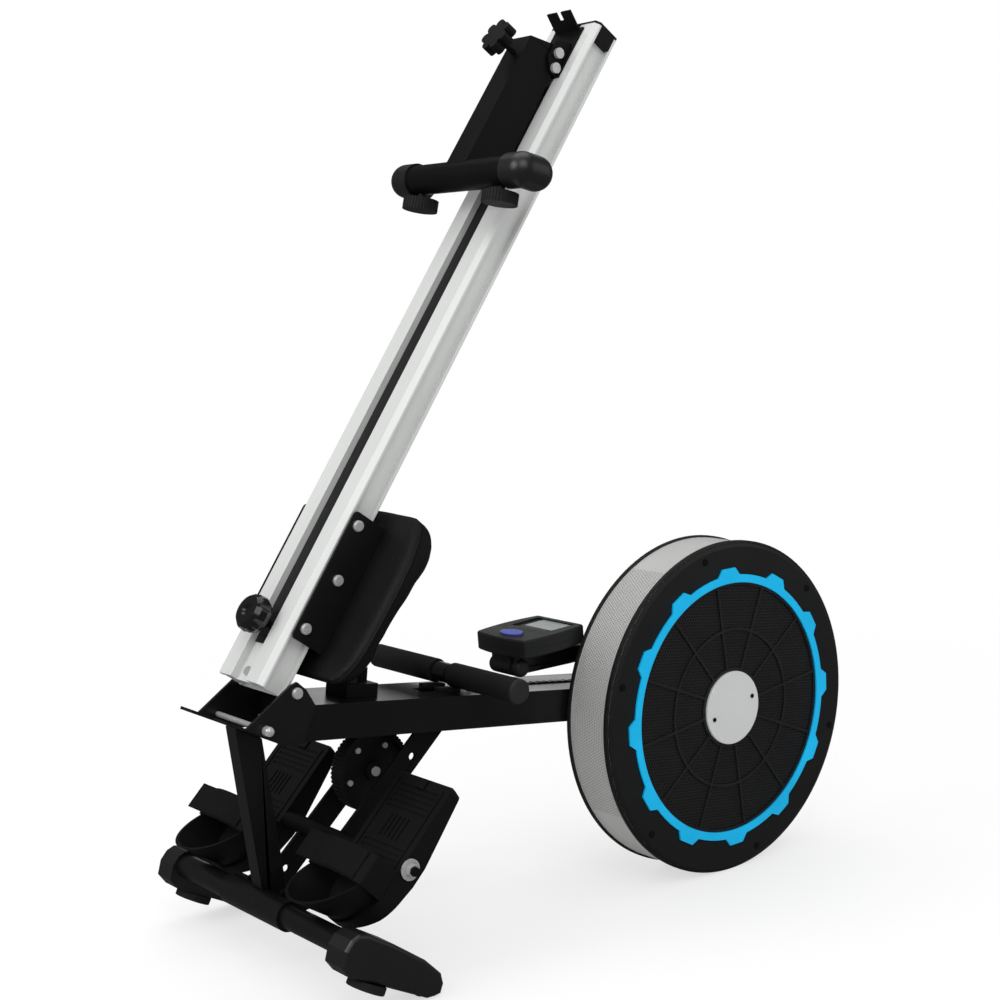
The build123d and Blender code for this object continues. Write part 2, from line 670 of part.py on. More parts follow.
def pedal():
    """Moulded footplate with side walls, treads and a flared heel cup, centred on y = 0."""
    plate = slab(PEDAL_SIDE, -PEDAL_HALF, PEDAL_HALF)
    plan = extrude(Pos(0, 0, -PEDAL_HALF) * heel_outline(PEDAL_HALF, HEEL_TIP, PEDAL_TOE), 2 * PEDAL_HALF)
    toe_corners = plan.edges().filter_by(Axis.Z).sort_by(Axis.X)[-2:]
    plate = plate & fillet(toe_corners, TOE_CORNER)
    inner = PEDAL_HALF - PEDAL_WALL
    plate -= side_box(CAVITY_BACK, CAVITY_FRONT, -inner, inner, -PEDAL_HALF, PEDAL_TOP - PEDAL_SKIN)
    plate += cross_rod(0, 0, -PEDAL_HALF, PEDAL_HALF, BOSS_R)
    groove_low = PEDAL_TOP - TREAD_DEPTH
    for index in range(TREAD_COUNT):
        for start in (TREAD_TOE, TREAD_MID):
            x = start + index * TREAD_PITCH
            plate -= side_box(x, x + TREAD_WIDE, -TREAD_HALF, TREAD_HALF, groove_low, PEDAL_TOP)
        y = (index - TREAD_COUNT // 2) * PANEL_PITCH
        plate -= side_box(PANEL_FROM, PANEL_TO, y - TREAD_WIDE / 2, y + TREAD_WIDE / 2, groove_low,
                          PEDAL_TOP)
    for side in (-1, 1):
        plate -= side_box(BORDER_BACK, BORDER_FRONT, side * BORDER, side * (BORDER - TREAD_WIDE),
                          groove_low, PEDAL_TOP)
    plate += side_box(TOE_TAB_BACK, PEDAL_TOE - TREAD_WIDE, -TOE_TAB_HALF, TOE_TAB_HALF,
                      PEDAL_TOP - PEDAL_SKIN,
                      PEDAL_TOP + TOE_TAB_RISE)
    base = Pos(0, 0, PEDAL_TOP)
    cup_tip = HEEL_TIP + HEEL_LEDGE
    cup = extrude(base * heel_outline(HEEL_CUP_R, cup_tip, HEEL_CUP_FRONT), HEEL_CUP_TALL,
                  taper=-HEEL_FLARE)
    hollow = heel_outline(HEEL_CUP_R - HEEL_CUP_WALL, cup_tip + HEEL_CUP_WALL, PEDAL_TOE / 2)
    cup -= extrude(base * hollow, HEEL_CUP_TALL, taper=-HEEL_FLARE)
    rim_top = PEDAL_TOP + HEEL_CUP_TALL
    rim_back = cup_tip - HEEL_CUP_TALL * math.tan(math.radians(HEEL_FLARE))
    cup -= slab(((rim_back, rim_top), (0, HEEL_RIM_FRONT), (PEDAL_TOE, HEEL_RIM_FRONT),
                 (PEDAL_TOE, rim_top)), -2 * PEDAL_HALF, 2 * PEDAL_HALF)
    plate += cup
    return plate - cross_rod(0, 0, -PEDAL_HALF, PEDAL_HALF, AXLE_R + RUN)


def strap_wall(half, shoulder, crown):
    """Side-to-side outline of the strap arch as a closed face standing on the footplate."""
    x = STRAP_BACK
    legs = Polyline((x, half, shoulder), (x, half, PEDAL_TOP), (x, -half, PEDAL_TOP), (x, -half, shoulder))
    arch = ThreePointArc((x, -half, shoulder), (x, 0, crown), (x, half, shoulder))
    return extrude(make_face([legs, arch]), STRAP_FRONT - STRAP_BACK, dir=(1, 0, 0))


strap = strap_wall(PEDAL_HALF, STRAP_SHOULDER, STRAP_CROWN)
strap -= strap_wall(PEDAL_HALF - STRAP_THICK, STRAP_SHOULDER - STRAP_THICK / 2, STRAP_CROWN - STRAP_THICK)
one_pedal = pedal()
for name, side in (("near", -1), ("far", 1)):
    pieces["pedal_" + name] = PEDAL * Pos(0, side * PEDAL_Y, 0) * one_pedal
    pieces["strap_" + name] = PEDAL * Pos(0, side * PEDAL_Y, 0) * strap

# Return pulley under the beam
pulley = cross_rod(PULLEY_X, PULLEY_Z, -PULLEY_HALF, PULLEY_HALF, PULLEY_R)
for side in (-1, 1):
    pulley -= disc_about_y(PULLEY_X, PULLEY_Z, (
        (PULLEY_HUB_R, side * PULLEY_WEB), (PULLEY_R - PULLEY_RIM, side * PULLEY_WEB),
        (PULLEY_R - PULLEY_RIM, side * PULLEY_HALF), (PULLEY_HUB_R, side * PULLEY_HALF)))
notch = cross_rod(PULLEY_X + PULLEY_R, PULLEY_Z, -PULLEY_HALF, PULLEY_HALF, PULLEY_RIB_DEPTH)
for index in range(PULLEY_RIBS):
    pulley -= around_y(PULLEY_X, PULLEY_Z, 360 * index / PULLEY_RIBS) * notch
bolt = cross_rod(PULLEY_X + PULLEY_BOLT_AT, PULLEY_Z, -PULLEY_WEB - PULLEY_BOLT_PROUD, -PULLEY_WEB,
                 PULLEY_BOLT_R)
for index in range(PULLEY_BOLTS):
    pulley += around_y(PULLEY_X, PULLEY_Z, PULLEY_BOLT_TURN + 360 * index / PULLEY_BOLTS) * bolt
pulley -= cross_rod(PULLEY_X, PULLEY_Z, -PULLEY_HALF, PULLEY_HALF, STUB_R + RUN)
pieces["return_pulley"] = BEAM * pulley

# Block with its ribbed knob, and the rubber pads
block = side_box(BLOCK_START, BLOCK_END, -BLOCK_HALF, BLOCK_HALF, BEAM_TOP, BLOCK_TOP)
block -= rod((BLOCK_KNOB_X, BLOCK_KNOB_Y, BLOCK_TOP - STUD_DEEP - PLAY),
             (BLOCK_KNOB_X, BLOCK_KNOB_Y, BLOCK_TOP),
             STUD_R + RUN)
pieces["buffer_block"] = BEAM * block
knob = spun(((0, PLAY), (BLOCK_KNOB_R, PLAY), (BLOCK_KNOB_R, BLOCK_KNOB_TALL), (0, BLOCK_KNOB_TALL)))
for index in range(BLOCK_KNOB_RIBS):
    turn = 360 * index / BLOCK_KNOB_RIBS
    knob -= Rot(0, 0, turn) * rod((BLOCK_KNOB_R, 0, 0), (BLOCK_KNOB_R, 0, BLOCK_KNOB_TALL), BLOCK_KNOB_RIB)
knob += rod((0, 0, -STUD_DEEP), (0, 0, BLOCK_KNOB_TALL + STUD_TIP), STUD_R)
pieces["block_knob"] = BEAM * Pos(BLOCK_KNOB_X, BLOCK_KNOB_Y, BLOCK_TOP) * knob
buffer_r = math.hypot(BLOCK_KNOB_X - BUFFER_X, BLOCK_KNOB_Y - BUFFER_Y) - BLOCK_KNOB_R - BUFFER_GAP
buffer_pad = rod((BUFFER_X, BUFFER_Y, BLOCK_TOP), (BUFFER_X, BUFFER_Y, BLOCK_TOP + BUFFER_TALL), buffer_r)
rest_top = HANDLE_Z - GRIP_R
rest_pads = []
for side in (-1, 1):
    rest_pads.append(side_box(REST_START, REST_END, side * REST_IN, side * BLOCK_HALF, BEAM_TOP,
                              rest_top - PLAY))
pieces["rubber_pads"] = BEAM * Compound(children=[buffer_pad, *rest_pads])

# Sprocket and chain: the chain lies over the sprocket and rises to the handle clevis
PITCH_R = CHAIN_PITCH / (2 * math.sin(math.pi / TEETH))
sprocket = cross_rod(FAN_X, FAN_Z, -SPROCKET_HALF, SPROCKET_HALF, PITCH_R + TOOTH_TIP)
for index in range(TEETH):
    turn = around_y(FAN_X, FAN_Z, 360 * index / TEETH)
    for shift in (-CHAIN_PITCH, 0, CHAIN_PITCH):
        sprocket -= turn * cross_rod(FAN_X + shift, FAN_Z + PITCH_R, -SPROCKET_HALF, SPROCKET_HALF,
                                     CHAIN_ROLLER + PLAY)
sprocket += cross_rod(FAN_X, FAN_Z, -SPROCKET_HUB_HALF, SPROCKET_HUB_HALF, SPROCKET_HUB_R)
sprocket -= cross_rod(FAN_X, FAN_Z, -SPROCKET_HUB_HALF, SPROCKET_HUB_HALF, FAN_AXLE_R + RUN)
pieces["sprocket"] = BEAM * sprocket

pins = []
for index in range(CHAIN_WRAP, 0, -1):
    angle = 2 * math.pi * index / TEETH
    pins.append((FAN_X + PITCH_R * math.sin(angle), FAN_Z + PITCH_R * math.cos(angle)))
for index in range(CHAIN_RUN + 1):
    pins.append((FAN_X - index * CHAIN_PITCH, FAN_Z + PITCH_R))
rise = math.radians(CHAIN_RISE_ANGLE)
run_end = pins[-1]
for index in range(1, CHAIN_RISE + 1):
    along = index * CHAIN_PITCH
    pins.append((run_end[0] - along * math.cos(rise), run_end[1] + along * math.sin(rise)))
CHAIN_LINE = Plane(origin=(0, CHAIN_IN, 0), x_dir=(1, 0, 0), z_dir=(0, 1, 0))


def chain_plate():
    """Outline of one row of chain plates in the side view."""
    outline = None
    for here, there in zip(pins[:-1], pins[1:]):
        heading = math.degrees(math.atan2(there[1] - here[1], there[0] - here[0]))
        middle = ((here[0] + there[0]) / 2, (here[1] + there[1]) / 2)
        link = Location((middle[0], -middle[1], 0), (0, 0, -heading)) * Rectangle(CHAIN_PITCH,
                                                                                  2 * CHAIN_NECK)
        outline = link if outline is None else outline + link
    for x, z in pins:
        outline = outline + Pos(x, -z, 0) * Circle(CHAIN_PLATE)
    return outline


plate_face = chain_plate()
plates = extrude(CHAIN_LINE * plate_face, CHAIN_OUT - CHAIN_IN)
chain = plates + mirror(plates, Plane.XZ)
for x, z in pins:
    chain += cross_rod(x, z, -CHAIN_IN, CHAIN_IN, CHAIN_ROLLER)
pieces["drive_chain"] = BEAM * chain

# Handle
clevis_pin = pins[-1]
handle = cross_rod(HANDLE_X, HANDLE_Z, -HANDLE_HALF, HANDLE_HALF, HANDLE_BAR_R)
handle += cross_rod(HANDLE_X, HANDLE_Z, -CLEVIS_COLLAR_HALF, CLEVIS_COLLAR_HALF, CLEVIS_COLLAR_R)
clevis_heading = math.atan2(clevis_pin[1] - HANDLE_Z, clevis_pin[0] - HANDLE_X)
clevis_side = (-math.sin(clevis_heading) * CLEVIS_R, math.cos(clevis_heading) * CLEVIS_R)
clevis_outline = (
    (HANDLE_X + clevis_side[0], HANDLE_Z + clevis_side[1]),
    (HANDLE_X - clevis_side[0], HANDLE_Z - clevis_side[1]),
    (clevis_pin[0] - clevis_side[0], clevis_pin[1] - clevis_side[1]),
    (clevis_pin[0] + clevis_side[0], clevis_pin[1] + clevis_side[1]))
for side in (-1, 1):
    y0 = side * CLEVIS_IN
    y1 = side * (CLEVIS_IN + CLEVIS_THICK)
    handle += slab(clevis_outline, y0, y1)
    handle += cross_rod(clevis_pin[0], clevis_pin[1], y0, y1, CLEVIS_R)
    handle += cross_rod(clevis_pin[0], clevis_pin[1], y1, y1 + side * CLEVIS_THICK, CLEVIS_IN)
pieces["handle_bar"] = BEAM * handle


def grip(side):
    """Foam grip over one half of the handle bar."""
    foam = cross_rod(HANDLE_X, HANDLE_Z, side * GRIP_IN, side * HANDLE_HALF, GRIP_R)
    return foam - cross_rod(HANDLE_X, HANDLE_Z, side * GRIP_IN, side * HANDLE_HALF, HANDLE_BAR_R)


def grip_cap(side):
    """Rounded cap on one end of the handle."""
    cap = cross_rod(HANDLE_X, HANDLE_Z, side * HANDLE_HALF, side * (HANDLE_HALF + GRIP_CAP), GRIP_R)
    outer = cap.faces().sort_by(Axis.Y)[0 if side < 0 else -1]
    return fillet(outer.edges(), GRIP_CAP - SIDE_GAP)


pieces["handle_grips"] = BEAM * both(grip)
pieces["grip_caps"] = BEAM * both(grip_cap)

# Fan housing on the near side of the beam
cover_far_face = -BEAM_HALF
near_skin = FAN_FACE + COVER_SKIN
far_skin = cover_far_face - COVER_SKIN
rim_in = FAN_R - RIM_SKIN
near_cover = disc_about_y(FAN_X, FAN_Z, (
    (RING_IN, FAN_FACE), (FAN_R - RIM_BEVEL, FAN_FACE), (FAN_R, FAN_FACE + RIM_BEVEL_DEEP),
    (FAN_R, FAN_FACE + RIM_DEPTH), (rim_in, FAN_FACE + RIM_DEPTH), (rim_in, near_skin),
    (RING_IN, near_skin)))
far_cover = disc_about_y(FAN_X, FAN_Z, (
    (FAR_HOLE, cover_far_face), (FAN_R - RIM_BEVEL, cover_far_face),
    (FAN_R, cover_far_face - RIM_BEVEL_DEEP),
    (FAN_R, cover_far_face - RIM_DEPTH), (rim_in, cover_far_face - RIM_DEPTH), (rim_in, far_skin),
    (FAR_HOLE, far_skin)))
window = side_box(FAN_X + WINDOW_IN, FAN_X + WINDOW_OUT, far_skin, cover_far_face, FAN_Z - WINDOW_HALF,
                  FAN_Z + WINDOW_HALF)
for index in range(WINDOWS):
    far_cover -= around_y(FAN_X, FAN_Z, 360 * (index + 0.5) / WINDOWS) * window
for bolt_x, bolt_z in MOUNT_BOLTS:
    far_cover += cross_rod(bolt_x, bolt_z, far_skin, cover_far_face, WINDOW_HALF / 2)
    far_cover -= cross_rod(bolt_x, bolt_z, far_skin, cover_far_face, SCREW_R + RUN)
post = cross_rod(FAN_X + POST_AT, FAN_Z, near_skin, far_skin, POST_R)
screw_hole = cross_rod(FAN_X + POST_AT, FAN_Z, FAN_FACE, near_skin, SCREW_R + RUN)
screw = cross_rod(FAN_X + POST_AT, FAN_Z, FAN_FACE, near_skin, SCREW_R)
screw += cross_rod(FAN_X + POST_AT, FAN_Z, FAN_FACE - SCREW_HEAD, FAN_FACE, POST_R)
cap_face = FAN_FACE - HUB_CAP_THICK
screws = []
for index in range(POSTS):
    turn = around_y(FAN_X, FAN_Z, POST_TURN + 360 * index / POSTS)
    far_cover += turn * post
    near_cover -= turn * screw_hole
    screws.append(turn * screw)
for side in (-1, 1):
    head = cross_rod(FAN_X + side * HUB_SCREW_AT, FAN_Z, cap_face - SCREW_HEAD, cap_face, SCREW_R)
    screws.append(around_y(FAN_X, FAN_Z, HUB_SCREW_TURN) * head)
for bolt_x, bolt_z in MOUNT_BOLTS:
    stud = cross_rod(bolt_x, bolt_z, far_skin, BEAM_WALL - BEAM_HALF, SCREW_R)
    screws.append(stud + cross_rod(bolt_x, bolt_z, far_skin - SCREW_HEAD, far_skin, POST_R))
pieces["fan_cover_near"] = BEAM * near_cover
pieces["fan_cover_far"] = BEAM * far_cover
pieces["cover_screws"] = BEAM * Compound(children=screws)
pieces["fan_band"] = BEAM * disc_about_y(FAN_X, FAN_Z, (
    (rim_in, near_skin), (rim_in, far_skin), (rim_in - BAND_THICK, far_skin),
    (rim_in - BAND_THICK, near_skin)))

ring_front = FAN_FACE - RING_THICK
ring = disc_about_y(FAN_X, FAN_Z, (
    (RING_IN, ring_front), (RING_BASE, ring_front), (RING_BASE, FAN_FACE), (RING_IN, FAN_FACE)))
tooth_corners = []
for radius, half in ((RING_BASE - RING_THICK, TOOTH_BASE_HALF), (RING_TIP, TOOTH_TIP_HALF)):
    for sign in (-1, 1):
        angle = math.radians(half)
        tooth_corners.append((FAN_X + radius * math.cos(angle), FAN_Z + sign * radius * math.sin(angle)))
tooth = slab((tooth_corners[0], tooth_corners[1], tooth_corners[3], tooth_corners[2]), ring_front, FAN_FACE)
for index in range(RING_TEETH):
    ring += around_y(FAN_X, FAN_Z, RING_TURN + 360 * index / RING_TEETH) * tooth
pieces["fan_ring"] = BEAM * ring

grille = cross_rod(FAN_X, FAN_Z, near_skin - MESH_THICK, near_skin, RING_IN)
grille += cross_rod(FAN_X, FAN_Z, FAN_FACE, near_skin, HUB_DISC)
for radius in (RING_IN, MID_RING):
    grille += disc_about_y(FAN_X, FAN_Z, (
        (radius - RING_BAR, FAN_FACE), (radius, FAN_FACE), (radius, near_skin),
        (radius - RING_BAR, near_skin)))
rib = side_box(FAN_X, FAN_X + RING_IN - RING_BAR / 2, FAN_FACE, near_skin, FAN_Z - RIB_HALF,
               FAN_Z + RIB_HALF)
for index in range(RING_TEETH):
    grille += around_y(FAN_X, FAN_Z, 360 * (index + 0.5) / RING_TEETH) * rib
pieces["fan_grille"] = BEAM * grille
hub_cap = cross_rod(FAN_X, FAN_Z, cap_face, FAN_FACE, HUB_CAP_R)
pieces["hub_cap"] = BEAM * fillet(hub_cap.faces().sort_by(Axis.Y)[0].edges(), HUB_CAP_EDGE)

# Fan wheel, axle and bearings
bearing_out = BEAM_HALF + FLANGE


def axle_bearing(side):
    """Flanged bearing in one wall of the beam."""
    race = cross_rod(FAN_X, FAN_Z, side * (BEAM_HALF - BEARING_IN), side * BEAM_HALF, BEARING_R)
    race += cross_rod(FAN_X, FAN_Z, side * BEAM_HALF, side * bearing_out, FLANGE_R)
    return race - cross_rod(FAN_X, FAN_Z, side * (BEAM_HALF - BEARING_IN), side * bearing_out,
                            FAN_AXLE_R + RUN)


pieces["axle_bearings"] = BEAM * both(axle_bearing)
collar_in = bearing_out + PLAY
fan_axle = cross_rod(FAN_X, FAN_Z, WHEEL_HUB_END - AXLE_NUT, collar_in + AXLE_COLLAR, FAN_AXLE_R)
fan_axle += cross_rod(FAN_X, FAN_Z, SHOULDER_END, -collar_in, SHOULDER_R)
fan_axle += cross_rod(FAN_X, FAN_Z, WHEEL_HUB_END - AXLE_NUT, WHEEL_HUB_END, AXLE_NUT_R)
fan_axle += cross_rod(FAN_X, FAN_Z, collar_in, collar_in + AXLE_COLLAR, AXLE_COLLAR_R)
pieces["fan_axle"] = BEAM * fan_axle
disc_in = SHOULDER_END - WHEEL_DISC
wheel = cross_rod(FAN_X, FAN_Z, WHEEL_HUB_END, SHOULDER_END, WHEEL_HUB_R)
wheel += cross_rod(FAN_X, FAN_Z, disc_in, SHOULDER_END, WHEEL_DISC_R)
wheel += disc_about_y(FAN_X, FAN_Z, (
    (WHEEL_DISC_R - VANE_RING, VANE_END - WHEEL_DISC), (WHEEL_DISC_R, VANE_END - WHEEL_DISC),
    (WHEEL_DISC_R, VANE_END), (WHEEL_DISC_R - VANE_RING, VANE_END)))
vane = side_box(FAN_X + VANE_IN, FAN_X + WHEEL_DISC_R - VANE_HALF, VANE_END, disc_in, FAN_Z - VANE_HALF,
                FAN_Z + VANE_HALF)
for index in range(VANES):
    wheel += around_y(FAN_X, FAN_Z, 360 * index / VANES) * vane
wheel -= cross_rod(FAN_X, FAN_Z, WHEEL_HUB_END, SHOULDER_END, FAN_AXLE_R)
pieces["fan_wheel"] = BEAM * wheel

# Console arm and console
arm_near = ARM_FAR - ARM_THICK
arm_slope = math.atan2(ARM_REACH[1] - BARREL_Z, ARM_REACH[0] - BARREL_X)
arm_up = (-math.sin(arm_slope) * ARM_HALF, math.cos(arm_slope) * ARM_HALF)
arm = slab(((BARREL_X, BARREL_Z + ARM_EYE), (BARREL_X, BARREL_Z - ARM_EYE),
            (ARM_REACH[0] - arm_up[0], ARM_REACH[1] - arm_up[1]),
            (ARM_REACH[0] + arm_up[0], ARM_REACH[1] + arm_up[1])),
           arm_near, ARM_FAR)
arm += cross_rod(BARREL_X, BARREL_Z, arm_near, ARM_FAR, ARM_EYE)
arm += side_box(ARM_REACH[0] - ARM_LEG_HALF, ARM_REACH[0] + ARM_LEG_HALF, arm_near, ARM_FAR, BEAM_TOP,
                ARM_REACH[1])
arm += side_box(ARM_REACH[0] - ARM_FOOT, ARM_REACH[0] + ARM_FOOT, ARM_FAR - ARM_FOOT / 2, ARM_FAR, BEAM_TOP,
                BEAM_TOP + ARM_FOOT_THICK)
arm -= cross_rod(BARREL_X, BARREL_Z, arm_near, ARM_FAR, CONSOLE_PIN_R + RUN)
pieces["console_arm"] = BEAM * arm

case_plan = make_face([
    ThreePointArc((CASE_BOW, -CASE_FRONT_HALF), (0, 0), (CASE_BOW, CASE_FRONT_HALF)),
    ThreePointArc((CASE_BOW, CASE_FRONT_HALF), (CASE_MID, CASE_MID_HALF), (CASE_LONG, CASE_BACK_HALF)),
    Line((CASE_LONG, CASE_BACK_HALF), (CASE_LONG, -CASE_BACK_HALF)),
    ThreePointArc((CASE_LONG, -CASE_BACK_HALF), (CASE_MID, -CASE_MID_HALF), (CASE_BOW, -CASE_FRONT_HALF))])
case_face = Pos(0, 0, -CASE_DEEP) * case_plan
lower = extrude(case_face, CASE_DEEP - CASE_SEAM)
lower = fillet(lower.edges().filter_by(Axis.Z), CASE_CORNER)
lower = chamfer(lower.faces().sort_by(Axis.Z)[0].edges(), CASE_EDGE)
lower = chamfer(lower.faces().sort_by(Axis.Z)[-1].edges(), PLAY)
barrel_at = turned_point(BARREL_X - CONSOLE_X, BARREL_Z - CONSOLE_Z, CONSOLE_TILT)
barrel = cross_rod(barrel_at[0], barrel_at[1], BARREL_NEAR, BARREL_FAR, BARREL_R)
barrel = fillet(barrel.edges(), BARREL_ROUND)
barrel += side_box(barrel_at[0] - SADDLE_HALF, barrel_at[0] + SADDLE_HALF, BARREL_NEAR + BARREL_ROUND,
                   BARREL_FAR - BARREL_ROUND, barrel_at[1], -CASE_DEEP)
barrel -= side_box(barrel_at[0] - CASE_LONG, barrel_at[0] + CASE_LONG, arm_near - PLAY, ARM_FAR + PLAY,
                   barrel_at[1] - CASE_LONG, -CASE_DEEP)
barrel += cross_rod(barrel_at[0], barrel_at[1], arm_near - PLAY, ARM_FAR + PLAY, CONSOLE_PIN_R)
pieces["console_base"] = CONSOLE * (lower + barrel)

upper = extrude(Pos(0, 0, -CASE_SEAM) * case_plan, CASE_SEAM)
upper = fillet(upper.edges().filter_by(Axis.Z), CASE_CORNER)
upper = chamfer(upper.faces().sort_by(Axis.Z)[-1].edges(), CASE_EDGE)
upper -= side_box(LENS_START, LENS_END, -LENS_HALF, LENS_HALF, -LENS_DEEP, 0)
upper -= extrude(Pos(BUTTON_X, 0, -BUTTON_WELL) * Ellipse(BUTTON_LONG + PLAY, BUTTON_WIDE + PLAY),
                 BUTTON_WELL)
pieces["console_top"] = CONSOLE * upper
pieces["console_lens"] = CONSOLE * side_box(LENS_START, LENS_END, -LENS_HALF, LENS_HALF, -LENS_DEEP,
                                            LENS_THICK - LENS_DEEP)
button = extrude(Pos(BUTTON_X, 0, -BUTTON_BODY) * Ellipse(BUTTON_LONG, BUTTON_WIDE),
                 BUTTON_BODY + BUTTON_PROUD)
pieces["mode_button"] = CONSOLE * fillet(button.faces().sort_by(Axis.Z)[-1].edges(), BUTTON_PROUD / 2)

# Rail extrusion with a roller track down each side
rail_half_outline = (
    (RAIL_HALF, RAIL_SEAT_FACE), (RAIL_HALF, TRACK_LOW), (TRACK_FLOOR, TRACK_LOW),
    (TRACK_FLOOR, TRACK_HIGH),
    (RAIL_HALF, TRACK_HIGH), (RAIL_HALF, RAIL_SLOT_FACE - RAIL_CHAMFER),
    (RAIL_HALF - RAIL_CHAMFER, RAIL_SLOT_FACE),
    (RAIL_SLOT_HALF, RAIL_SLOT_FACE), (RAIL_SLOT_HALF, RAIL_SLOT_FLOOR))
void_half = TRACK_FLOOR - RAIL_SKIN
void_step = RAIL_SLOT_HALF + RAIL_SKIN
void_half_outline = (
    (void_half, RAIL_SEAT_FACE + RAIL_SKIN), (void_half, RAIL_SLOT_FACE - RAIL_SKIN),
    (void_step, RAIL_SLOT_FACE - RAIL_SKIN), (void_step, RAIL_SLOT_FLOOR - RAIL_SKIN))


def along_rail(half_outline, start, end):
    """Extrusion along the rail from one half of a symmetric section."""
    section = list(half_outline) + [(-y, z) for y, z in reversed(half_outline)]
    corners = [(start, y, z) for y, z in section]
    return extrude(make_face(Polyline(*corners, close=True)), end - start, dir=(1, 0, 0))


rail = along_rail(rail_half_outline, RAIL_START, RAIL_END)
rail -= along_rail(void_half_outline, RAIL_START, RAIL_END)
liner_top = RAIL_SLOT_FLOOR + LINER_THICK
stud_room = STUD_R + RUN
rail -= rod((CLAMP_X, 0, RAIL_SLOT_FLOOR - RAIL_SKIN), (CLAMP_X, 0, RAIL_SLOT_FLOOR), stud_room)
pieces["seat_rail"] = RAIL * rail
liner = side_box(LINER_START, LINER_END, -LINER_HALF, LINER_HALF, RAIL_SLOT_FLOOR, liner_top)
pieces["rail_liner"] = RAIL * (liner - rod((CLAMP_X, 0, RAIL_SLOT_FLOOR), (CLAMP_X, 0, liner_top),
                                           stud_room))

plug_outline = (
    (RAIL_HALF, RAIL_SEAT_FACE), (RAIL_HALF, RAIL_SLOT_FACE - RAIL_CHAMFER),
    (RAIL_HALF - RAIL_CHAMFER, RAIL_SLOT_FACE),
    (RAIL_SLOT_HALF, RAIL_SLOT_FACE))
plug = along_rail(plug_outline, RAIL_END, RAIL_END + PLUG_FLANGE)
for side in (-1, 1):
    plug += side_box(RAIL_END - PLUG_STOP, RAIL_END, side * TRACK_FLOOR, side * RAIL_HALF, TRACK_LOW,
                     TRACK_HIGH)
pieces["rail_end_plug"] = RAIL * plug

lug = side_box(RAIL_START, LUG_END, -LUG_HALF, LUG_HALF, RAIL_SEAT_FACE - LUG_THICK, RAIL_SEAT_FACE)
lug += cross_rod(0, 0, -LUG_BARREL_HALF, LUG_BARREL_HALF, LUG_BARREL_R)
lug -= cross_rod(0, 0, -LUG_BARREL_HALF, LUG_BARREL_HALF, PIVOT_R + RUN)
pieces["rail_hinge_lug"] = RAIL * lug

clamp = spun(CLAMP_PROFILE)
for index in range(CLAMP_LOBES):
    scallop = rod((CLAMP_SCALLOP_AT, 0, 0), (CLAMP_SCALLOP_AT, 0, 2 * RAIL_SLOT_FACE), CLAMP_SCALLOP_R)
    clamp -= Rot(0, 0, 360 * index / CLAMP_LOBES) * scallop
washer_low = liner_top + PLAY
clamp += rod((0, 0, washer_low), (0, 0, CLAMP_PROFILE[0][1]), CLAMP_NECK_R)
clamp += rod((0, 0, washer_low), (0, 0, washer_low + CLAMP_WASHER), CLAMP_WASHER_R)
clamp += rod((0, 0, CLAMP_STUD), (0, 0, washer_low), STUD_R)
pieces["rail_knob"] = RAIL * Pos(CLAMP_X, 0, 0) * clamp

# Leg bracket: base plate, two ears and the slotted tab that the star knob grips when the leg is open
open_turn = math.radians(LEG_OPEN)
leg_down = (-math.cos(open_turn), math.sin(open_turn))
leg_face = (math.sin(open_turn), math.cos(open_turn))
tab_out = LEG_OUTER - LEG_Z + TAB_GAP
plate_top = RAIL_SLOT_FACE + PLATE_THICK
stop_bolt_z = plate_top + BOLT_HEAD_R + PLAY
tab_root = (RAIL_SLOT_FACE - LEG_Z - leg_face[1] * tab_out) / leg_down[1]


def open_point(along, out):
    """Side-view point measured from the leg pivot along and out from the opened leg."""
    return (LEG_X + leg_down[0] * along + leg_face[0] * out,
            LEG_Z + leg_down[1] * along + leg_face[1] * out)


tab_outline = (open_point(tab_root, tab_out), open_point(TAB_TIP, tab_out),
               open_point(TAB_TIP, tab_out + TAB_THICK),
               open_point(tab_root + TAB_GAP, tab_out + TAB_THICK))
slot_outline = (open_point(TAB_TIP - TAB_SLOT, tab_out - SIDE_GAP),
                open_point(TAB_TIP + SIDE_GAP, tab_out - SIDE_GAP),
                open_point(TAB_TIP + SIDE_GAP, tab_out + 2 * TAB_THICK),
                open_point(TAB_TIP - TAB_SLOT, tab_out + 2 * TAB_THICK))
bracket = side_box(PLATE_START, PLATE_END, -PLATE_HALF, PLATE_HALF, RAIL_SLOT_FACE, plate_top)
tab = slab(tab_outline, -TAB_HALF, TAB_HALF) - slab(slot_outline, -TAB_SLOT_HALF, TAB_SLOT_HALF)
bracket += tab - side_box(PLATE_START, RAIL_END, -PLATE_HALF, PLATE_HALF, RAIL_SEAT_FACE, RAIL_SLOT_FACE)
ear_in = LEG_HALF + SIDE_GAP
ear_out = ear_in + EAR
for side in (-1, 1):
    ear = slab(EAR_OUTLINE, side * ear_in, side * ear_out)
    ear -= cross_rod(LEG_X, LEG_Z, side * ear_in, side * ear_out, LEG_BOLT_R)
    bracket += ear - cross_rod(STOP_BOLT_X, stop_bolt_z, side * ear_in, side * ear_out, LEG_BOLT_R)
pieces["leg_bracket"] = RAIL * bracket


def ear_bolt(side):
    """Bolt head on the outside of an ear, its shank inside the ear."""
    shank = cross_rod(STOP_BOLT_X, stop_bolt_z, side * ear_in, side * ear_out, LEG_BOLT_R)
    return shank + cross_rod(STOP_BOLT_X, stop_bolt_z, side * ear_out, side * (ear_out + BOLT_HEAD),
                             BOLT_HEAD_R)


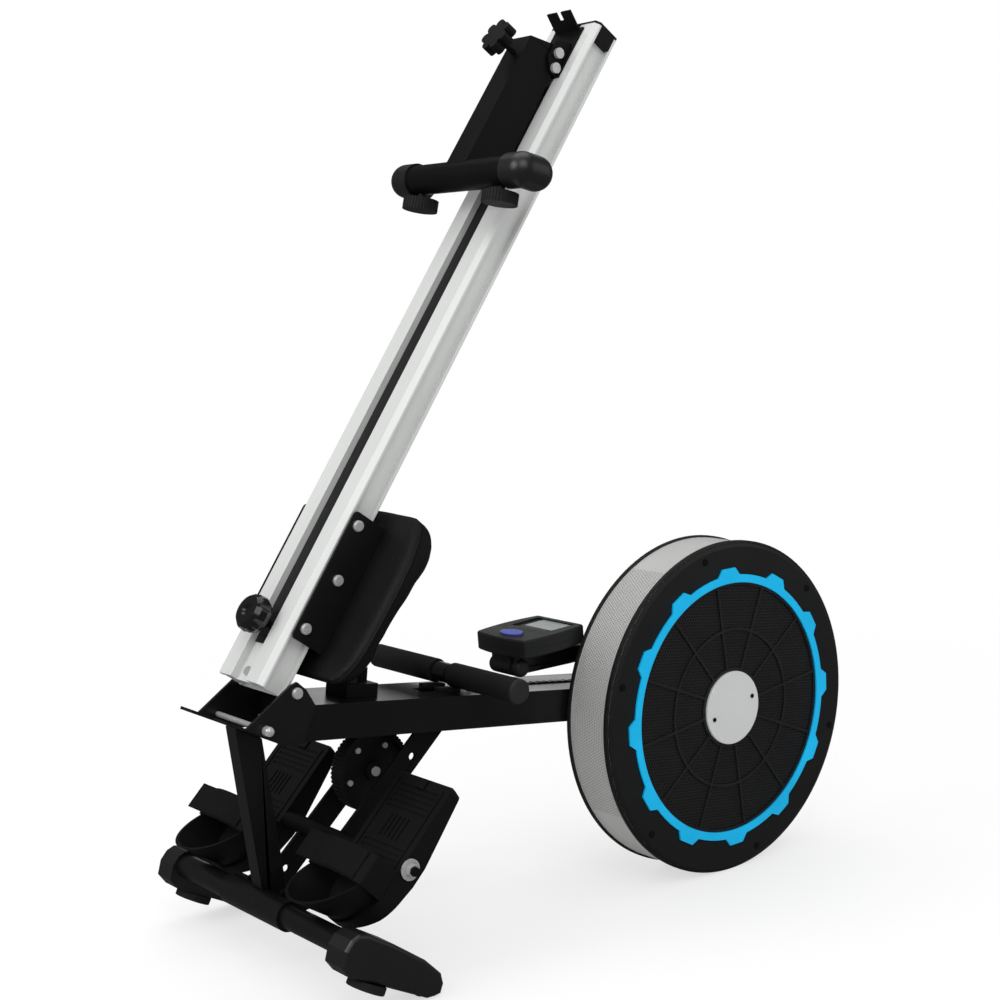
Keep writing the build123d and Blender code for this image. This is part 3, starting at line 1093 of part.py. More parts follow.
leg_bolt = cross_rod(LEG_X, LEG_Z, -ear_out - BOLT_HEAD, ear_out + BOLT_HEAD, LEG_BOLT_R)
for side in (-1, 1):
    leg_bolt += cross_rod(LEG_X, LEG_Z, side * ear_out, side * (ear_out + BOLT_HEAD), BOLT_HEAD_R)
groove_bolt = rod((GROOVE_BOLT_X, 0, RAIL_SLOT_FLOOR),
                  (GROOVE_BOLT_X, 0, RAIL_SLOT_FLOOR + GROOVE_BOLT_HEAD), GROOVE_BOLT_R)
pieces["rail_bolts"] = RAIL * Compound(children=[leg_bolt, ear_bolt(-1), ear_bolt(1), groove_bolt])

# Rear leg folded along the rail, its end cut so that it clears the base plate as it opens
inner_drop = LEG_Z - LEG_INNER
outer_rise = LEG_OUTER - LEG_Z
cut_outer = (leg_face[1] * outer_rise + LEG_END_CLEAR) / leg_down[1]
round_r = LEG_END_CLEAR / leg_down[1]
leg = slab(((LEG_X, LEG_INNER), (LEG_X, LEG_Z), (LEG_X + round_r, LEG_Z), (LEG_X + cut_outer, LEG_OUTER),
            (REAR_X, LEG_OUTER), (REAR_X, REAR_Z - REAR_TUBE_R), (REAR_X + REAR_TUBE_R, LEG_INNER)),
            -LEG_HALF, LEG_HALF)
leg += cross_rod(LEG_X, LEG_Z, -LEG_HALF, LEG_HALF, round_r)
leg += cross_rod(REAR_X, REAR_Z, -REAR_TUBE_HALF, REAR_TUBE_HALF, REAR_TUBE_R)
leg -= side_box(REAR_X, LEG_X - LEG_SOLID, LEG_WALL - LEG_HALF, LEG_HALF - LEG_WALL, LEG_INNER + LEG_WALL,
                LEG_OUTER - LEG_WALL)
leg -= cross_rod(REAR_X, REAR_Z, -REAR_TUBE_HALF, REAR_TUBE_HALF, REAR_TUBE_R - LEG_WALL)
leg -= cross_rod(LEG_X, LEG_Z, -LEG_HALF, LEG_HALF, LEG_BOLT_R + RUN)
leg -= rod((STAR_X, 0, LEG_OUTER - STUD_DEEP - PLAY), (STAR_X, 0, LEG_OUTER), stud_room)
foot_aim = (-leg_down[1], leg_face[1])


def rear_point(distance, y):
    """Point at a distance from the rear tube axis on the side that faces the floor in use."""
    return (REAR_X + foot_aim[0] * distance, y, REAR_Z + foot_aim[1] * distance)


REAR_STUD_IN = REAR_TUBE_R / 2
for side in (-1, 1):
    leg -= rod(rear_point(REAR_STUD_IN - PLAY, side * REAR_FOOT_Y),
               rear_point(REAR_FOOT_NEAR, side * REAR_FOOT_Y),
               FOOT_STUD_R + RUN)
pieces["rear_leg"] = RAIL * leg

elbow_aim = (-foot_aim[1], foot_aim[0])


def rear_boot(side):
    """Elbow boot on one end of the rear tube."""
    y = side * REAR_BOOT_Y
    tip = (REAR_X + elbow_aim[0] * REAR_ELBOW, y, REAR_Z + elbow_aim[1] * REAR_ELBOW)
    boot = cross_rod(REAR_X, REAR_Z, side * REAR_BOOT_IN, y, REAR_BOOT_R)
    boot += Pos(REAR_X, y, REAR_Z) * Sphere(REAR_BOOT_R)
    boot += rod((REAR_X, y, REAR_Z), tip, REAR_BOOT_R)
    boot += Pos(*tip) * Sphere(REAR_BOOT_R)
    return boot - cross_rod(REAR_X, REAR_Z, side * LEG_HALF, side * REAR_TUBE_HALF, REAR_TUBE_R)


pieces["rear_boots"] = RAIL * both(rear_boot)
for name, side in (("near", -1), ("far", 1)):
    y = side * REAR_FOOT_Y
    pad = rod(rear_point(REAR_FOOT_NEAR, y), rear_point(REAR_FOOT_FAR, y), FOOT_R)
    for index in range(REAR_FOOT_RIBS):
        angle = 2 * math.pi * index / REAR_FOOT_RIBS
        shift = Vector(elbow_aim[0] * math.cos(angle), math.sin(angle),
                       elbow_aim[1] * math.cos(angle)) * FOOT_R
        pad -= Pos(shift) * rod(rear_point(REAR_FOOT_NEAR, y), rear_point(REAR_FOOT_FAR, y), REAR_RIB_R)
    pad += rod(rear_point(REAR_STUD_IN, y), rear_point(REAR_FOOT_NEAR, y), FOOT_STUD_R)
    pieces["rear_foot_" + name] = RAIL * pad

star_face = Circle(STAR_R)
for index in range(STAR_LOBES):
    star_face += Rot(0, 0, 360 * index / STAR_LOBES) * Pos(STAR_R, 0, 0) * Circle(STAR_LOBE_R)
star = extrude(Pos(0, 0, STAR_BASE + STAR_HUB) * star_face, STAR_TALL - STAR_HUB)
star += rod((0, 0, STAR_BASE), (0, 0, STAR_BASE + STAR_HUB), STAR_HUB_R)
star += rod((0, 0, LEG_OUTER - STUD_DEEP), (0, 0, STAR_BASE), STUD_R)
pieces["star_knob"] = RAIL * Pos(STAR_X, 0, 0) * star

# Seat: channel carriage on rollers, padded seat on top
plate_out = SEAT_PLATE_IN + SEAT_PLATE
carriage = side_box(SEAT_START, SEAT_END, -plate_out, plate_out, SEAT_PLATE_TOP, SEAT_PLATE_LOW)
carriage = fillet(carriage.edges().filter_by(Axis.Y).group_by(Axis.Z)[-1], SEAT_CORNER)
carriage -= side_box(SEAT_START, SEAT_END, -SEAT_PLATE_IN, SEAT_PLATE_IN, SEAT_PLATE_TOP + SEAT_PLATE,
                     SEAT_PLATE_LOW)
roller_low = TRACK_HIGH - ROLLER_R - PLAY / 2
roller_high = TRACK_LOW + ROLLER_R + PLAY / 2
roller_z = (roller_low, roller_high, roller_low)
seat_bolts = []
for x, z in zip(ROLLER_X, roller_z):
    carriage -= cross_rod(x, z, -plate_out, plate_out, SEAT_BOLT_R)
    for side in (-1, 1):
        seat_bolt = cross_rod(x, z, side * ROLLER_IN, side * plate_out, SEAT_BOLT_R)
        seat_bolt += cross_rod(x, z, side * (ROLLER_OUT + PLAY), side * SEAT_PLATE_IN, SHOULDER_BOLT_R)
        head = cross_rod(x, z, side * plate_out, side * (plate_out + BOLT_HEAD), BOLT_HEAD_R)
        outer = head.faces().sort_by(Axis.Y)[0 if side < 0 else -1]
        seat_bolts.append(seat_bolt + fillet(outer.edges(), BOLT_HEAD / 2))
pieces["seat_carriage"] = RAIL * carriage
pieces["seat_bolts"] = RAIL * Compound(children=seat_bolts)


def roller(x, z, side):
    """Roller in one track of the rail."""
    wheel = cross_rod(x, z, side * ROLLER_IN, side * ROLLER_OUT, ROLLER_R)
    return wheel - cross_rod(x, z, side * ROLLER_IN, side * ROLLER_OUT, SEAT_BOLT_R + RUN)


for name, x, z in zip(("lower", "middle", "upper"), ROLLER_X, roller_z):
    pieces["rollers_" + name] = RAIL * Compound(children=[roller(x, z, -1), roller(x, z, 1)])


def cushion_section(x, half, top):
    """Cross-section of the seat: flat base, drawn-in sides and a crowned top."""
    base = SEAT_PLATE_TOP
    tuck = half - CUSHION_TUCK
    waist = base + (top - base) * CUSHION_BULGE
    shoulder = top + CUSHION_CROWN
    bottom = Line((x, tuck, base), (x, -tuck, base))
    left = ThreePointArc((x, -tuck, base), (x, -half, waist), (x, -tuck, shoulder))
    crown = ThreePointArc((x, -tuck, shoulder), (x, 0, top), (x, tuck, shoulder))
    right = ThreePointArc((x, tuck, shoulder), (x, half, waist), (x, tuck, base))
    return make_face([bottom, left, crown, right])


sections = [cushion_section(x, half, top) for x, half,
            top in zip(CUSHION_STATIONS, CUSHION_WIDTHS, CUSHION_TOPS)]
pieces["seat_cushion"] = RAIL * loft(sections)

os.makedirs("parts", exist_ok=True)
for name, piece in pieces.items():
    export_step(piece, "parts/" + name + ".step")
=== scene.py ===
"""Dresses the stored rowing machine: finishes, seat pad, straps, foam grips, studio and camera."""
import json
import logging
import math
from dataclasses import dataclass
from enum import Enum
from typing import Any, Callable, Optional, Sequence

import bpy
from mathutils import Matrix, Vector

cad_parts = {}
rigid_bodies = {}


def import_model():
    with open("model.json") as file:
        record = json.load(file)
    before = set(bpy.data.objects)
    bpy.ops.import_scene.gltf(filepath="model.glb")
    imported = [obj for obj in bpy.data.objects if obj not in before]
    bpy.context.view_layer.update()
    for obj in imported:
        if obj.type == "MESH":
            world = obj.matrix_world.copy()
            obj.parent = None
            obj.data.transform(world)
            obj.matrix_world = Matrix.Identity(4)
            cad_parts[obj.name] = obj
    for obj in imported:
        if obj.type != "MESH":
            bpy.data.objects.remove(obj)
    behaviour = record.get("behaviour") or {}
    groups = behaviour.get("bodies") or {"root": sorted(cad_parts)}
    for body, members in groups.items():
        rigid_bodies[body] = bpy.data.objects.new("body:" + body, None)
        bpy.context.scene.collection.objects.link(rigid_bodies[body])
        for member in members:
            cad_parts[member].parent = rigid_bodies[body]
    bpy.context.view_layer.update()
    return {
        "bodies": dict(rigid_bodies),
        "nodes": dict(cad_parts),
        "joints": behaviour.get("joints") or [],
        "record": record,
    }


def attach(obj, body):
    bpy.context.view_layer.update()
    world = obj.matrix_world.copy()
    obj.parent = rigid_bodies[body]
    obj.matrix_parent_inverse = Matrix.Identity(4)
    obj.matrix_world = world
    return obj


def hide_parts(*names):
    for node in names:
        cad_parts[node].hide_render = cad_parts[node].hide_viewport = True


LOG = logging.getLogger("rower")
SMOOTH_UNDER = 35.0
WHITE = (1.0, 1.0, 1.0)
ROW_RISE = 0.866
Colour = tuple[float, float, float]
Point = tuple[float, float, float]
Pair = tuple[float, float]


@dataclass(frozen=True)
class LocalFrame:
    """Frame of a sub-assembly: its origin in metres and its turn about Y in degrees."""

    origin: Point
    turn: float

    def matrix(self) -> Matrix:
        """Matrix from this frame to the row frame."""
        return Matrix.Translation(self.origin) @ Matrix.Rotation(math.radians(self.turn), 4, "Y")

    def inside(self, x: float, z: float, turn: float) -> "LocalFrame":
        """Frame set inside this one.

        Args:
            x: Origin along this frame's x, in metres.
            z: Origin along this frame's z, in metres.
            turn: Further turn about Y, in degrees.

        Returns:
            The inner frame.
        """
        return LocalFrame(tuple(self.matrix() @ Vector((x, 0.0, z))), self.turn + turn)


BEAM = LocalFrame((-0.4251707, 0.0, 0.3714251), 6.466668)
RAIL = BEAM.inside(0.0, 0.0, -62.0)
PEDAL = BEAM.inside(0.0938, -0.2037, -51.9)
CONSOLE = BEAM.inside(0.3730, 0.0528, -10.5)
FAN = BEAM.inside(0.712, -0.0415, 0.0)
PEDAL_SPREAD = 0.140


class Value:
    """Scalar socket whose arithmetic adds Math nodes."""

    def __init__(self, sheet: "NodeTree", socket: bpy.types.NodeSocket) -> None:
        """Keeps the socket and the sheet it belongs to."""
        self.sheet = sheet
        self.socket = socket

    def math(self, operation: str, *terms: Any) -> "Value":
        """Adds one Math node.

        Args:
            operation: The Math node's operation.
            terms: Its inputs in order, values or numbers.

        Returns:
            The node's result.
        """
        made = self.sheet.node("ShaderNodeMath", {"operation": operation}, dict(enumerate(terms)))
        return Value(self.sheet, made.outputs[0])

    def __add__(self, other: Any) -> "Value":
        """Sum."""
        return self.math("ADD", self, other)

    __radd__ = __add__

    def __sub__(self, other: Any) -> "Value":
        """Difference."""
        return self.math("SUBTRACT", self, other)

    def __rsub__(self, other: Any) -> "Value":
        """Reflected difference."""
        return self.math("SUBTRACT", other, self)

    def __mul__(self, other: Any) -> "Value":
        """Product."""
        return self.math("MULTIPLY", self, other)

    __rmul__ = __mul__

    def __truediv__(self, other: Any) -> "Value":
        """Quotient."""
        return self.math("DIVIDE", self, other)

    def __gt__(self, other: Any) -> "Value":
        """One where larger."""
        return self.math("GREATER_THAN", self, other)

    def __lt__(self, other: Any) -> "Value":
        """One where smaller."""
        return self.math("LESS_THAN", self, other)

    def __abs__(self) -> "Value":
        """Size without sign."""
        return self.math("ABSOLUTE", self)

    def sine(self) -> "Value":
        """Sine."""
        return self.math("SINE", self)

    def root(self) -> "Value":
        """Square root."""
        return self.math("SQRT", self)

    def folded(self) -> "Value":
        """Distance from the middle of each whole step, from 0 to 0.5."""
        return abs(self.math("FRACT", self) - 0.5)

    def floor(self) -> "Value":
        """Whole part."""
        return self.math("FLOOR", self)

    def angle(self, other: "Value") -> "Value":
        """Angle of the point (other, self)."""
        return self.math("ARCTAN2", self, other)

    def about(self, width: float, middle: float = 0.5) -> "Value":
        """Departure from the middle, scaled to a width."""
        return (self - middle) * width

    def smooth(self, low: float, high: float) -> "Value":
        """Smooth step from 0 at low to 1 at high."""
        made = self.sheet.node("ShaderNodeMapRange", {"interpolation_type": "SMOOTHSTEP"},
                               {"Value": self, "From Min": low, "From Max": high})
        return Value(self.sheet, made.outputs["Result"])


class NodeTree:
    """Node tree whose nodes all come from one method."""

    def __init__(self, tree: bpy.types.NodeTree) -> None:
        """Empties the tree."""
        self.tree = tree
        tree.nodes.clear()

    def feed(self, target: bpy.types.NodeSocket, value: Any) -> None:
        """Links or sets one input.

        Args:
            target: The input.
            value: A value or link, or a number, vector or colour.
        """
        source = value.socket if isinstance(value, Value) else value
        if isinstance(source, bpy.types.NodeSocket):
            self.tree.links.new(source, target)
        elif isinstance(source, tuple) and len(source) == 3 and target.type == "RGBA":
            target.default_value = (*source, 1.0)
        else:
            target.default_value = source

    def node(self, kind: str, settings: dict[str, Any], sockets: dict[Any, Any]) -> bpy.types.Node:
        """Adds a node.

        Args:
            kind: The node's type.
            settings: Its own settings, set first.
            sockets: Values or links of its inputs by name or number.

        Returns:
            The node.
        """
        made = self.tree.nodes.new(kind)
        for key, value in settings.items():
            setattr(made, key, value)
        for key, value in sockets.items():
            self.feed(made.inputs[key], value)
        return made

    def rays(self) -> tuple[Value, Value]:
        """One for rays from the camera, and one for rays in reflections."""
        path = self.node("ShaderNodeLightPath", {}, {})
        return Value(self, path.outputs["Is Camera Ray"]), Value(self, path.outputs["Is Glossy Ray"])


class NodeSheet(NodeTree):
    """One material's node tree."""

    def __init__(self, name: str) -> None:
        """Makes an empty material with a principled shader."""
        self.material = bpy.data.materials.new(name)
        self.material.use_nodes = True
        super().__init__(self.material.node_tree)
        self.output = self.node("ShaderNodeOutputMaterial", {}, {})
        self.shader = self.node("ShaderNodeBsdfPrincipled", {}, {})
        self.tree.links.new(self.shader.outputs[0], self.output.inputs[0])

    def place(self, frame: LocalFrame) -> bpy.types.NodeSocket:
        """Object coordinates in a sub-assembly's frame.

        Args:
            frame: The sub-assembly's frame.

        Returns:
            The coordinates.
        """
        coords = self.node("ShaderNodeTexCoord", {}, {})
        made = self.node("ShaderNodeMapping", {"vector_type": "TEXTURE"}, {
            "Vector": coords.outputs["Object"], "Location": frame.origin,
            "Rotation": (0.0, math.radians(frame.turn), 0.0)})
        return made.outputs[0]

    def uv(self) -> bpy.types.NodeSocket:
        """The piece's own UV map."""
        return self.node("ShaderNodeTexCoord", {}, {}).outputs["UV"]

    def stretch(self, vector: bpy.types.NodeSocket, scale: Point) -> bpy.types.NodeSocket:
        """Coordinates scaled per axis."""
        return self.node("ShaderNodeVectorMath", {"operation": "MULTIPLY"}, {0: vector, 1: scale}).outputs[0]

    def axes(self, vector: bpy.types.NodeSocket) -> tuple[Value, Value, Value]:
        """The three components of a vector."""
        made = self.node("ShaderNodeSeparateXYZ", {}, {0: vector})
        return Value(self, made.outputs[0]), Value(self, made.outputs[1]), Value(self, made.outputs[2])

    def noise(self, vector: bpy.types.NodeSocket, scale: float, detail: float) -> Value:
        """Fractal noise from 0 to 1."""
        made = self.node("ShaderNodeTexNoise", {}, {"Vector": vector, "Scale": scale, "Detail": detail})
        return Value(self, made.outputs["Fac"])

    def cells(self, vector: bpy.types.NodeSocket, scale: float) -> Value:
        """Distance to the nearest of scattered points."""
        made = self.node("ShaderNodeTexVoronoi", {}, {"Vector": vector, "Scale": scale})
        return Value(self, made.outputs["Distance"])

    def mix(self, factor: Any, low: Any, high: Any) -> bpy.types.NodeSocket:
        """Colour between two colours.

        Args:
            factor: Share of the second colour.
            low: First colour.
            high: Second colour.

        Returns:
            The mixed colour.
        """
        made = self.node("ShaderNodeMix", {"data_type": "RGBA"}, {0: factor, 6: low, 7: high})
        return made.outputs[2]

    def shade(self, factor: Value, colour: Colour, tones: Pair) -> bpy.types.NodeSocket:
        """Colour scaled by a share that runs from one tone to the other with the factor."""
        return self.mix(factor, lighter(colour, tones[0]), lighter(colour, tones[1]))

    def staggered(self, across: Value, along: Value, pitch: float) -> Value:
        """Distance to the nearest point of a staggered grid.

        Args:
            across: Place along the rows in metres.
            along: Place over the rows in metres.
            pitch: Distance between points of a row in metres.

        Returns:
            The distance in metres.
        """
        row = along / (pitch * ROW_RISE)
        column = across / pitch + row.floor() * 0.5
        side = column.folded() * pitch
        rise = row.folded() * (pitch * ROW_RISE)
        return (side * side + rise * rise).root()

    def bump(self, height: Value, depth: float) -> bpy.types.NodeSocket:
        """Surface normal from a height of 0 to 1 and a depth in metres."""
        made = self.node("ShaderNodeBump", {}, {"Height": height, "Distance": depth, "Strength": 1.0})
        return made.outputs[0]

    def finish(self, **sockets: Any) -> bpy.types.Material:
        """Sets or links the shader's sockets by name, with underscores for spaces.

        Args:
            sockets: Values, colours or links.

        Returns:
            The material.
        """
        for key, value in sockets.items():
            self.feed(self.shader.inputs[key.replace("_", " ")], value)
        return self.material


def lighter(colour: Colour, share: float) -> Colour:
    """Colour scaled by a share."""
    return (colour[0] * share, colour[1] * share, colour[2] * share)


@dataclass(frozen=True)
class PowderCoat:
    """Baked black paint with a faint orange-peel skin and a little dust."""

    name: str
    colour: Colour
    roughness: float
    shine: float = 0.4
    peel: float = 0.00006
    cloud: Pair = (9.0, 5.0)
    skin: Pair = (700.0, 2.0)
    dust: Pair = (1800.0, 1.0)
    dust_from: Pair = (0.66, 0.74)
    dust_share: float = 0.25
    dust_tone: float = 5.0
    tones: Pair = (0.75, 1.3)
    vary: float = 0.16

    def material(self) -> bpy.types.Material:
        """Builds the material.

        Returns:
            The material.
        """
        sheet = NodeSheet(self.name)
        at = sheet.place(BEAM)
        cloud = sheet.noise(at, *self.cloud)
        skin = sheet.noise(at, *self.skin)
        dust = sheet.noise(at, *self.dust).smooth(*self.dust_from)
        base = sheet.shade(cloud, self.colour, self.tones)
        return sheet.finish(
            Base_Color=sheet.mix(dust * self.dust_share, base, lighter(self.colour, self.dust_tone)),
            Roughness=self.roughness + cloud.about(self.vary),
            Normal=sheet.bump(skin, self.peel), Specular_IOR_Level=self.shine)


@dataclass(frozen=True)
class Moulded:
    """Moulded plastic with a spark-eroded grain."""

    name: str
    colour: Colour
    roughness: float
    grain: float = 1400.0
    depth: float = 0.00008
    shine: float = 0.3
    cloud: Pair = (14.0, 4.0)
    tones: Pair = (0.8, 1.22)
    vary: float = 0.12
    pit_vary: float = 0.06
    pit_middle: float = 0.4

    def material(self) -> bpy.types.Material:
        """Builds the material.

        Returns:
            The material.
        """
        sheet = NodeSheet(self.name)
        at = sheet.place(BEAM)
        cloud = sheet.noise(at, *self.cloud)
        pits = sheet.cells(at, self.grain)
        return sheet.finish(
            Base_Color=sheet.shade(cloud, self.colour, self.tones),
            Roughness=self.roughness + cloud.about(self.vary) + pits.about(self.pit_vary, self.pit_middle),
            Normal=sheet.bump(pits, self.depth), Specular_IOR_Level=self.shine)


@dataclass(frozen=True)
class Studded:
    """Black piece whose bolt heads round one axis are zinc plated."""

    name: str
    colour: Colour
    roughness: float
    inner: float
    outer: float
    face: float
    axis: Pair = (0.166, -0.123)
    zinc: Colour = (0.46, 0.46, 0.47)
    metallic: float = 0.4
    cloud: Pair = (12.0, 5.0)
    skin: Pair = (800.0, 2.0)
    tones: Pair = (0.78, 1.25)
    vary: float = 0.14
    peel: float = 0.00006
    shine: float = 0.3

    def material(self) -> bpy.types.Material:
        """Builds the material.

        Returns:
            The material.
        """
        sheet = NodeSheet(self.name)
        at = sheet.place(BEAM)
        x, y, z = sheet.axes(at)
        from_x = x - self.axis[0]
        from_z = z - self.axis[1]
        radius = (from_x * from_x + from_z * from_z).root()
        head = (radius > self.inner) * (radius < self.outer) * (y < self.face)
        cloud = sheet.noise(at, *self.cloud)
        skin = sheet.noise(at, *self.skin)
        black = sheet.shade(cloud, self.colour, self.tones)
        return sheet.finish(
            Base_Color=sheet.mix(head, black, self.zinc), Roughness=self.roughness + cloud.about(self.vary),
            Metallic=head * self.metallic, Normal=sheet.bump(skin, self.peel), Specular_IOR_Level=self.shine)


@dataclass(frozen=True)
class DrawnMetal:
    """Metal with fine lines along one direction of a sub-assembly."""

    name: str
    colour: Colour
    roughness: float
    frame: LocalFrame
    lines: Point
    metallic: float = 1.0
    cloud: Pair = (6.0, 3.0)
    streak: Pair = (1.0, 4.0)
    streak_share: float = 0.6
    tones: Pair = (0.86, 1.1)
    vary: float = 0.08
    streak_vary: float = 0.16
    depth: float = 0.00004

    def material(self) -> bpy.types.Material:
        """Builds the material.

        Returns:
            The material.
        """
        sheet = NodeSheet(self.name)
        at = sheet.place(self.frame)
        streak = sheet.noise(sheet.stretch(at, self.lines), *self.streak)
        cloud = sheet.noise(at, *self.cloud)
        tone = streak * self.streak_share + cloud * (1.0 - self.streak_share)
        return sheet.finish(
            Base_Color=sheet.shade(tone, self.colour, self.tones),
            Roughness=self.roughness + streak.about(self.streak_vary) + cloud.about(self.vary),
            Normal=sheet.bump(streak, self.depth), Metallic=self.metallic)


@dataclass(frozen=True)
class Plated:
    """Bright plated fastener with a light haze."""

    name: str
    colour: Colour
    roughness: float
    metallic: float = 1.0
    haze: Pair = (160.0, 4.0)
    tones: Pair = (0.85, 1.1)
    vary: float = 0.1

    def material(self) -> bpy.types.Material:
        """Builds the material.

        Returns:
            The material.
        """
        sheet = NodeSheet(self.name)
        at = sheet.place(BEAM)
        haze = sheet.noise(at, *self.haze)
        return sheet.finish(
            Base_Color=sheet.shade(haze, self.colour, self.tones),
            Roughness=self.roughness + haze.about(self.vary), Metallic=self.metallic)


@dataclass(frozen=True)
class PerforatedBand:
    """Grey sheet round the fan with staggered round holes and two plain panels; the holes are painted as
    darker spots, painted shade of the fan's inside seen through them.
    """

    name: str = "perforated_band"
    colour: Colour = (0.47, 0.475, 0.46)
    # Colour of the holes: painted shade of the fan's inside seen through the perforations.
    shaded_hole: Colour = (0.26, 0.26, 0.255)
    radius: float = 0.247
    pitch: float = 0.0042
    hole_r: float = 0.0012
    margin: float = 0.0032
    near_edge: float = -0.140
    far_edge: float = -0.0675
    plain_top: Pair = (62.0, 126.0)
    plain_bottom: Pair = (-142.0, -62.0)
    blur: float = 0.0002
    cloud: Pair = (20.0, 4.0)
    tones: Pair = (0.93, 1.07)
    roughness: float = 0.42
    hole_rough: float = 0.4
    vary: float = 0.1
    depth: float = 0.0004

    def material(self) -> bpy.types.Material:
        """Builds the material.

        Returns:
            The material.
        """
        sheet = NodeSheet(self.name)
        at = sheet.place(FAN)
        x, y, z = sheet.axes(at)
        turn = z.angle(x)
        distance = sheet.staggered(turn * self.radius, y, self.pitch)
        shaded_hole = 1 - distance.smooth(self.hole_r - self.blur, self.hole_r + self.blur)
        degrees = turn * (180.0 / math.pi)
        top = (degrees > self.plain_top[0]) * (degrees < self.plain_top[1])
        bottom = (degrees > self.plain_bottom[0]) * (degrees < self.plain_bottom[1])
        inside = (y > self.near_edge + self.margin) * (y < self.far_edge - self.margin)
        shaded_holes = shaded_hole * inside * (1 - top) * (1 - bottom)
        cloud = sheet.noise(at, *self.cloud)
        paint = sheet.shade(cloud, self.colour, self.tones)
        # Holes painted darker than the sheet: the holes are real, their darkness is painted shade.
        return sheet.finish(
            Base_Color=sheet.mix(shaded_holes, paint, self.shaded_hole),
            Roughness=self.roughness + shaded_holes * self.hole_rough + cloud.about(self.vary),
            Normal=sheet.bump(1 - shaded_holes, self.depth))


@dataclass(frozen=True)
class WovenScreen:
    """Black wire screen between the ribs of the fan grille; its openings are painted near black, painted
    shade of the inside seen through them.
    """

    name: str = "fan_screen"
    colour: Colour = (0.008, 0.008, 0.0085)
    # Colour of the openings: painted shade of the inside behind the screen.
    shaded_hole: Colour = (0.001, 0.001, 0.001)
    pitch: float = 0.0052
    hole_r: float = 0.0016
    sheet_y: float = -0.1485
    blur: float = 0.0003
    cloud: Pair = (30.0, 3.0)
    tones: Pair = (0.8, 1.5)
    roughness: float = 0.46
    hole_rough: float = 0.4
    depth: float = 0.0008

    def material(self) -> bpy.types.Material:
        """Builds the material.

        Returns:
            The material.
        """
        sheet = NodeSheet(self.name)
        at = sheet.place(FAN)
        x, y, z = sheet.axes(at)
        distance = sheet.staggered(x, z, self.pitch)
        opening = 1 - distance.smooth(self.hole_r - self.blur, self.hole_r + self.blur)
        shaded_hole = opening * (y > self.sheet_y)
        cloud = sheet.noise(at, *self.cloud)
        wire = sheet.shade(cloud, self.colour, self.tones)
        # Openings painted near black: the openings are real, their darkness is painted shade.
        return sheet.finish(
            Base_Color=sheet.mix(shaded_hole, wire, self.shaded_hole), Roughness=self.roughness + shaded_hole * self.hole_rough,
            Normal=sheet.bump(1 - shaded_hole, self.depth))


@dataclass(frozen=True)
class Vinyl:
    """Grained black vinyl of the seat."""

    name: str = "seat_vinyl"
    colour: Colour = (0.0045, 0.0045, 0.0048)
    grain: float = 620.0
    crease: Pair = (46.0, 6.0)
    cloud: Pair = (7.0, 3.0)
    tones: Pair = (0.8, 1.35)
    roughness: float = 0.5
    vary: float = 0.16
    grain_vary: float = 0.08
    shine: float = 0.14
    relief: Pair = (0.7, 0.5)
    depth: float = 0.0004

    def material(self) -> bpy.types.Material:
        """Builds the material.

        Returns:
            The material.
        """
        sheet = NodeSheet(self.name)
        at = sheet.place(RAIL)
        pebble = sheet.cells(at, self.grain)
        crease = sheet.noise(at, *self.crease)
        cloud = sheet.noise(at, *self.cloud)
        height = pebble * self.relief[0] + crease * self.relief[1]
        return sheet.finish(
            Base_Color=sheet.shade(cloud, self.colour, self.tones),
            Roughness=self.roughness + cloud.about(self.vary) - pebble * self.grain_vary,
            Specular_IOR_Level=self.shine, Normal=sheet.bump(height, self.depth))


@dataclass(frozen=True)
class Webbing:
    """Woven strap, its ribs following the piece's own UV map."""

    name: str = "strap_webbing"
    colour: Colour = (0.0045, 0.0045, 0.0048)
    ribs_across: float = 34.0
    ribs_along: float = 120.0
    fuzz: Pair = (900.0, 2.0)
    weave_share: float = 0.6
    tones: Pair = (0.6, 1.7)
    roughness: float = 0.74
    vary: float = 0.2
    shine: float = 0.16
    relief: Pair = (0.7, 0.3)
    depth: float = 0.0005

    def material(self) -> bpy.types.Material:
        """Builds the material.

        Returns:
            The material.
        """
        sheet = NodeSheet(self.name)
        u, v, _ = sheet.axes(sheet.uv())
        warp = (u * (self.ribs_across * 2 * math.pi)).sine()
        weft = (v * (self.ribs_along * 2 * math.pi)).sine()
        weave = warp * weft * 0.5 + 0.5
        fuzz = sheet.noise(sheet.place(PEDAL), *self.fuzz)
        tone = weave * self.weave_share + fuzz * (1.0 - self.weave_share)
        height = weave * self.relief[0] + fuzz * self.relief[1]
        return sheet.finish(
            Base_Color=sheet.shade(tone, self.colour, self.tones),
            Roughness=self.roughness + fuzz.about(self.vary), Normal=sheet.bump(height, self.depth),
            Specular_IOR_Level=self.shine)


@dataclass(frozen=True)
class Foam:
    """Closed-cell foam with a fine open skin."""

    name: str = "grip_foam"
    colour: Colour = (0.006, 0.006, 0.0064)
    pores: float = 900.0
    cloud: Pair = (60.0, 4.0)
    pore_share: float = 0.7
    tones: Pair = (0.7, 1.6)
    roughness: float = 0.82
    vary: float = 0.2
    depth: float = 0.0003
    shine: float = 0.3

    def material(self) -> bpy.types.Material:
        """Builds the material.

        Returns:
            The material.
        """
        sheet = NodeSheet(self.name)
        at = sheet.place(BEAM)
        pores = sheet.cells(at, self.pores)
        cloud = sheet.noise(at, *self.cloud)
        tone = pores * self.pore_share + cloud * (1.0 - self.pore_share)
        return sheet.finish(
            Base_Color=sheet.shade(tone, self.colour, self.tones),
            Roughness=self.roughness + cloud.about(self.vary), Normal=sheet.bump(pores, self.depth),
            Specular_IOR_Level=self.shine)


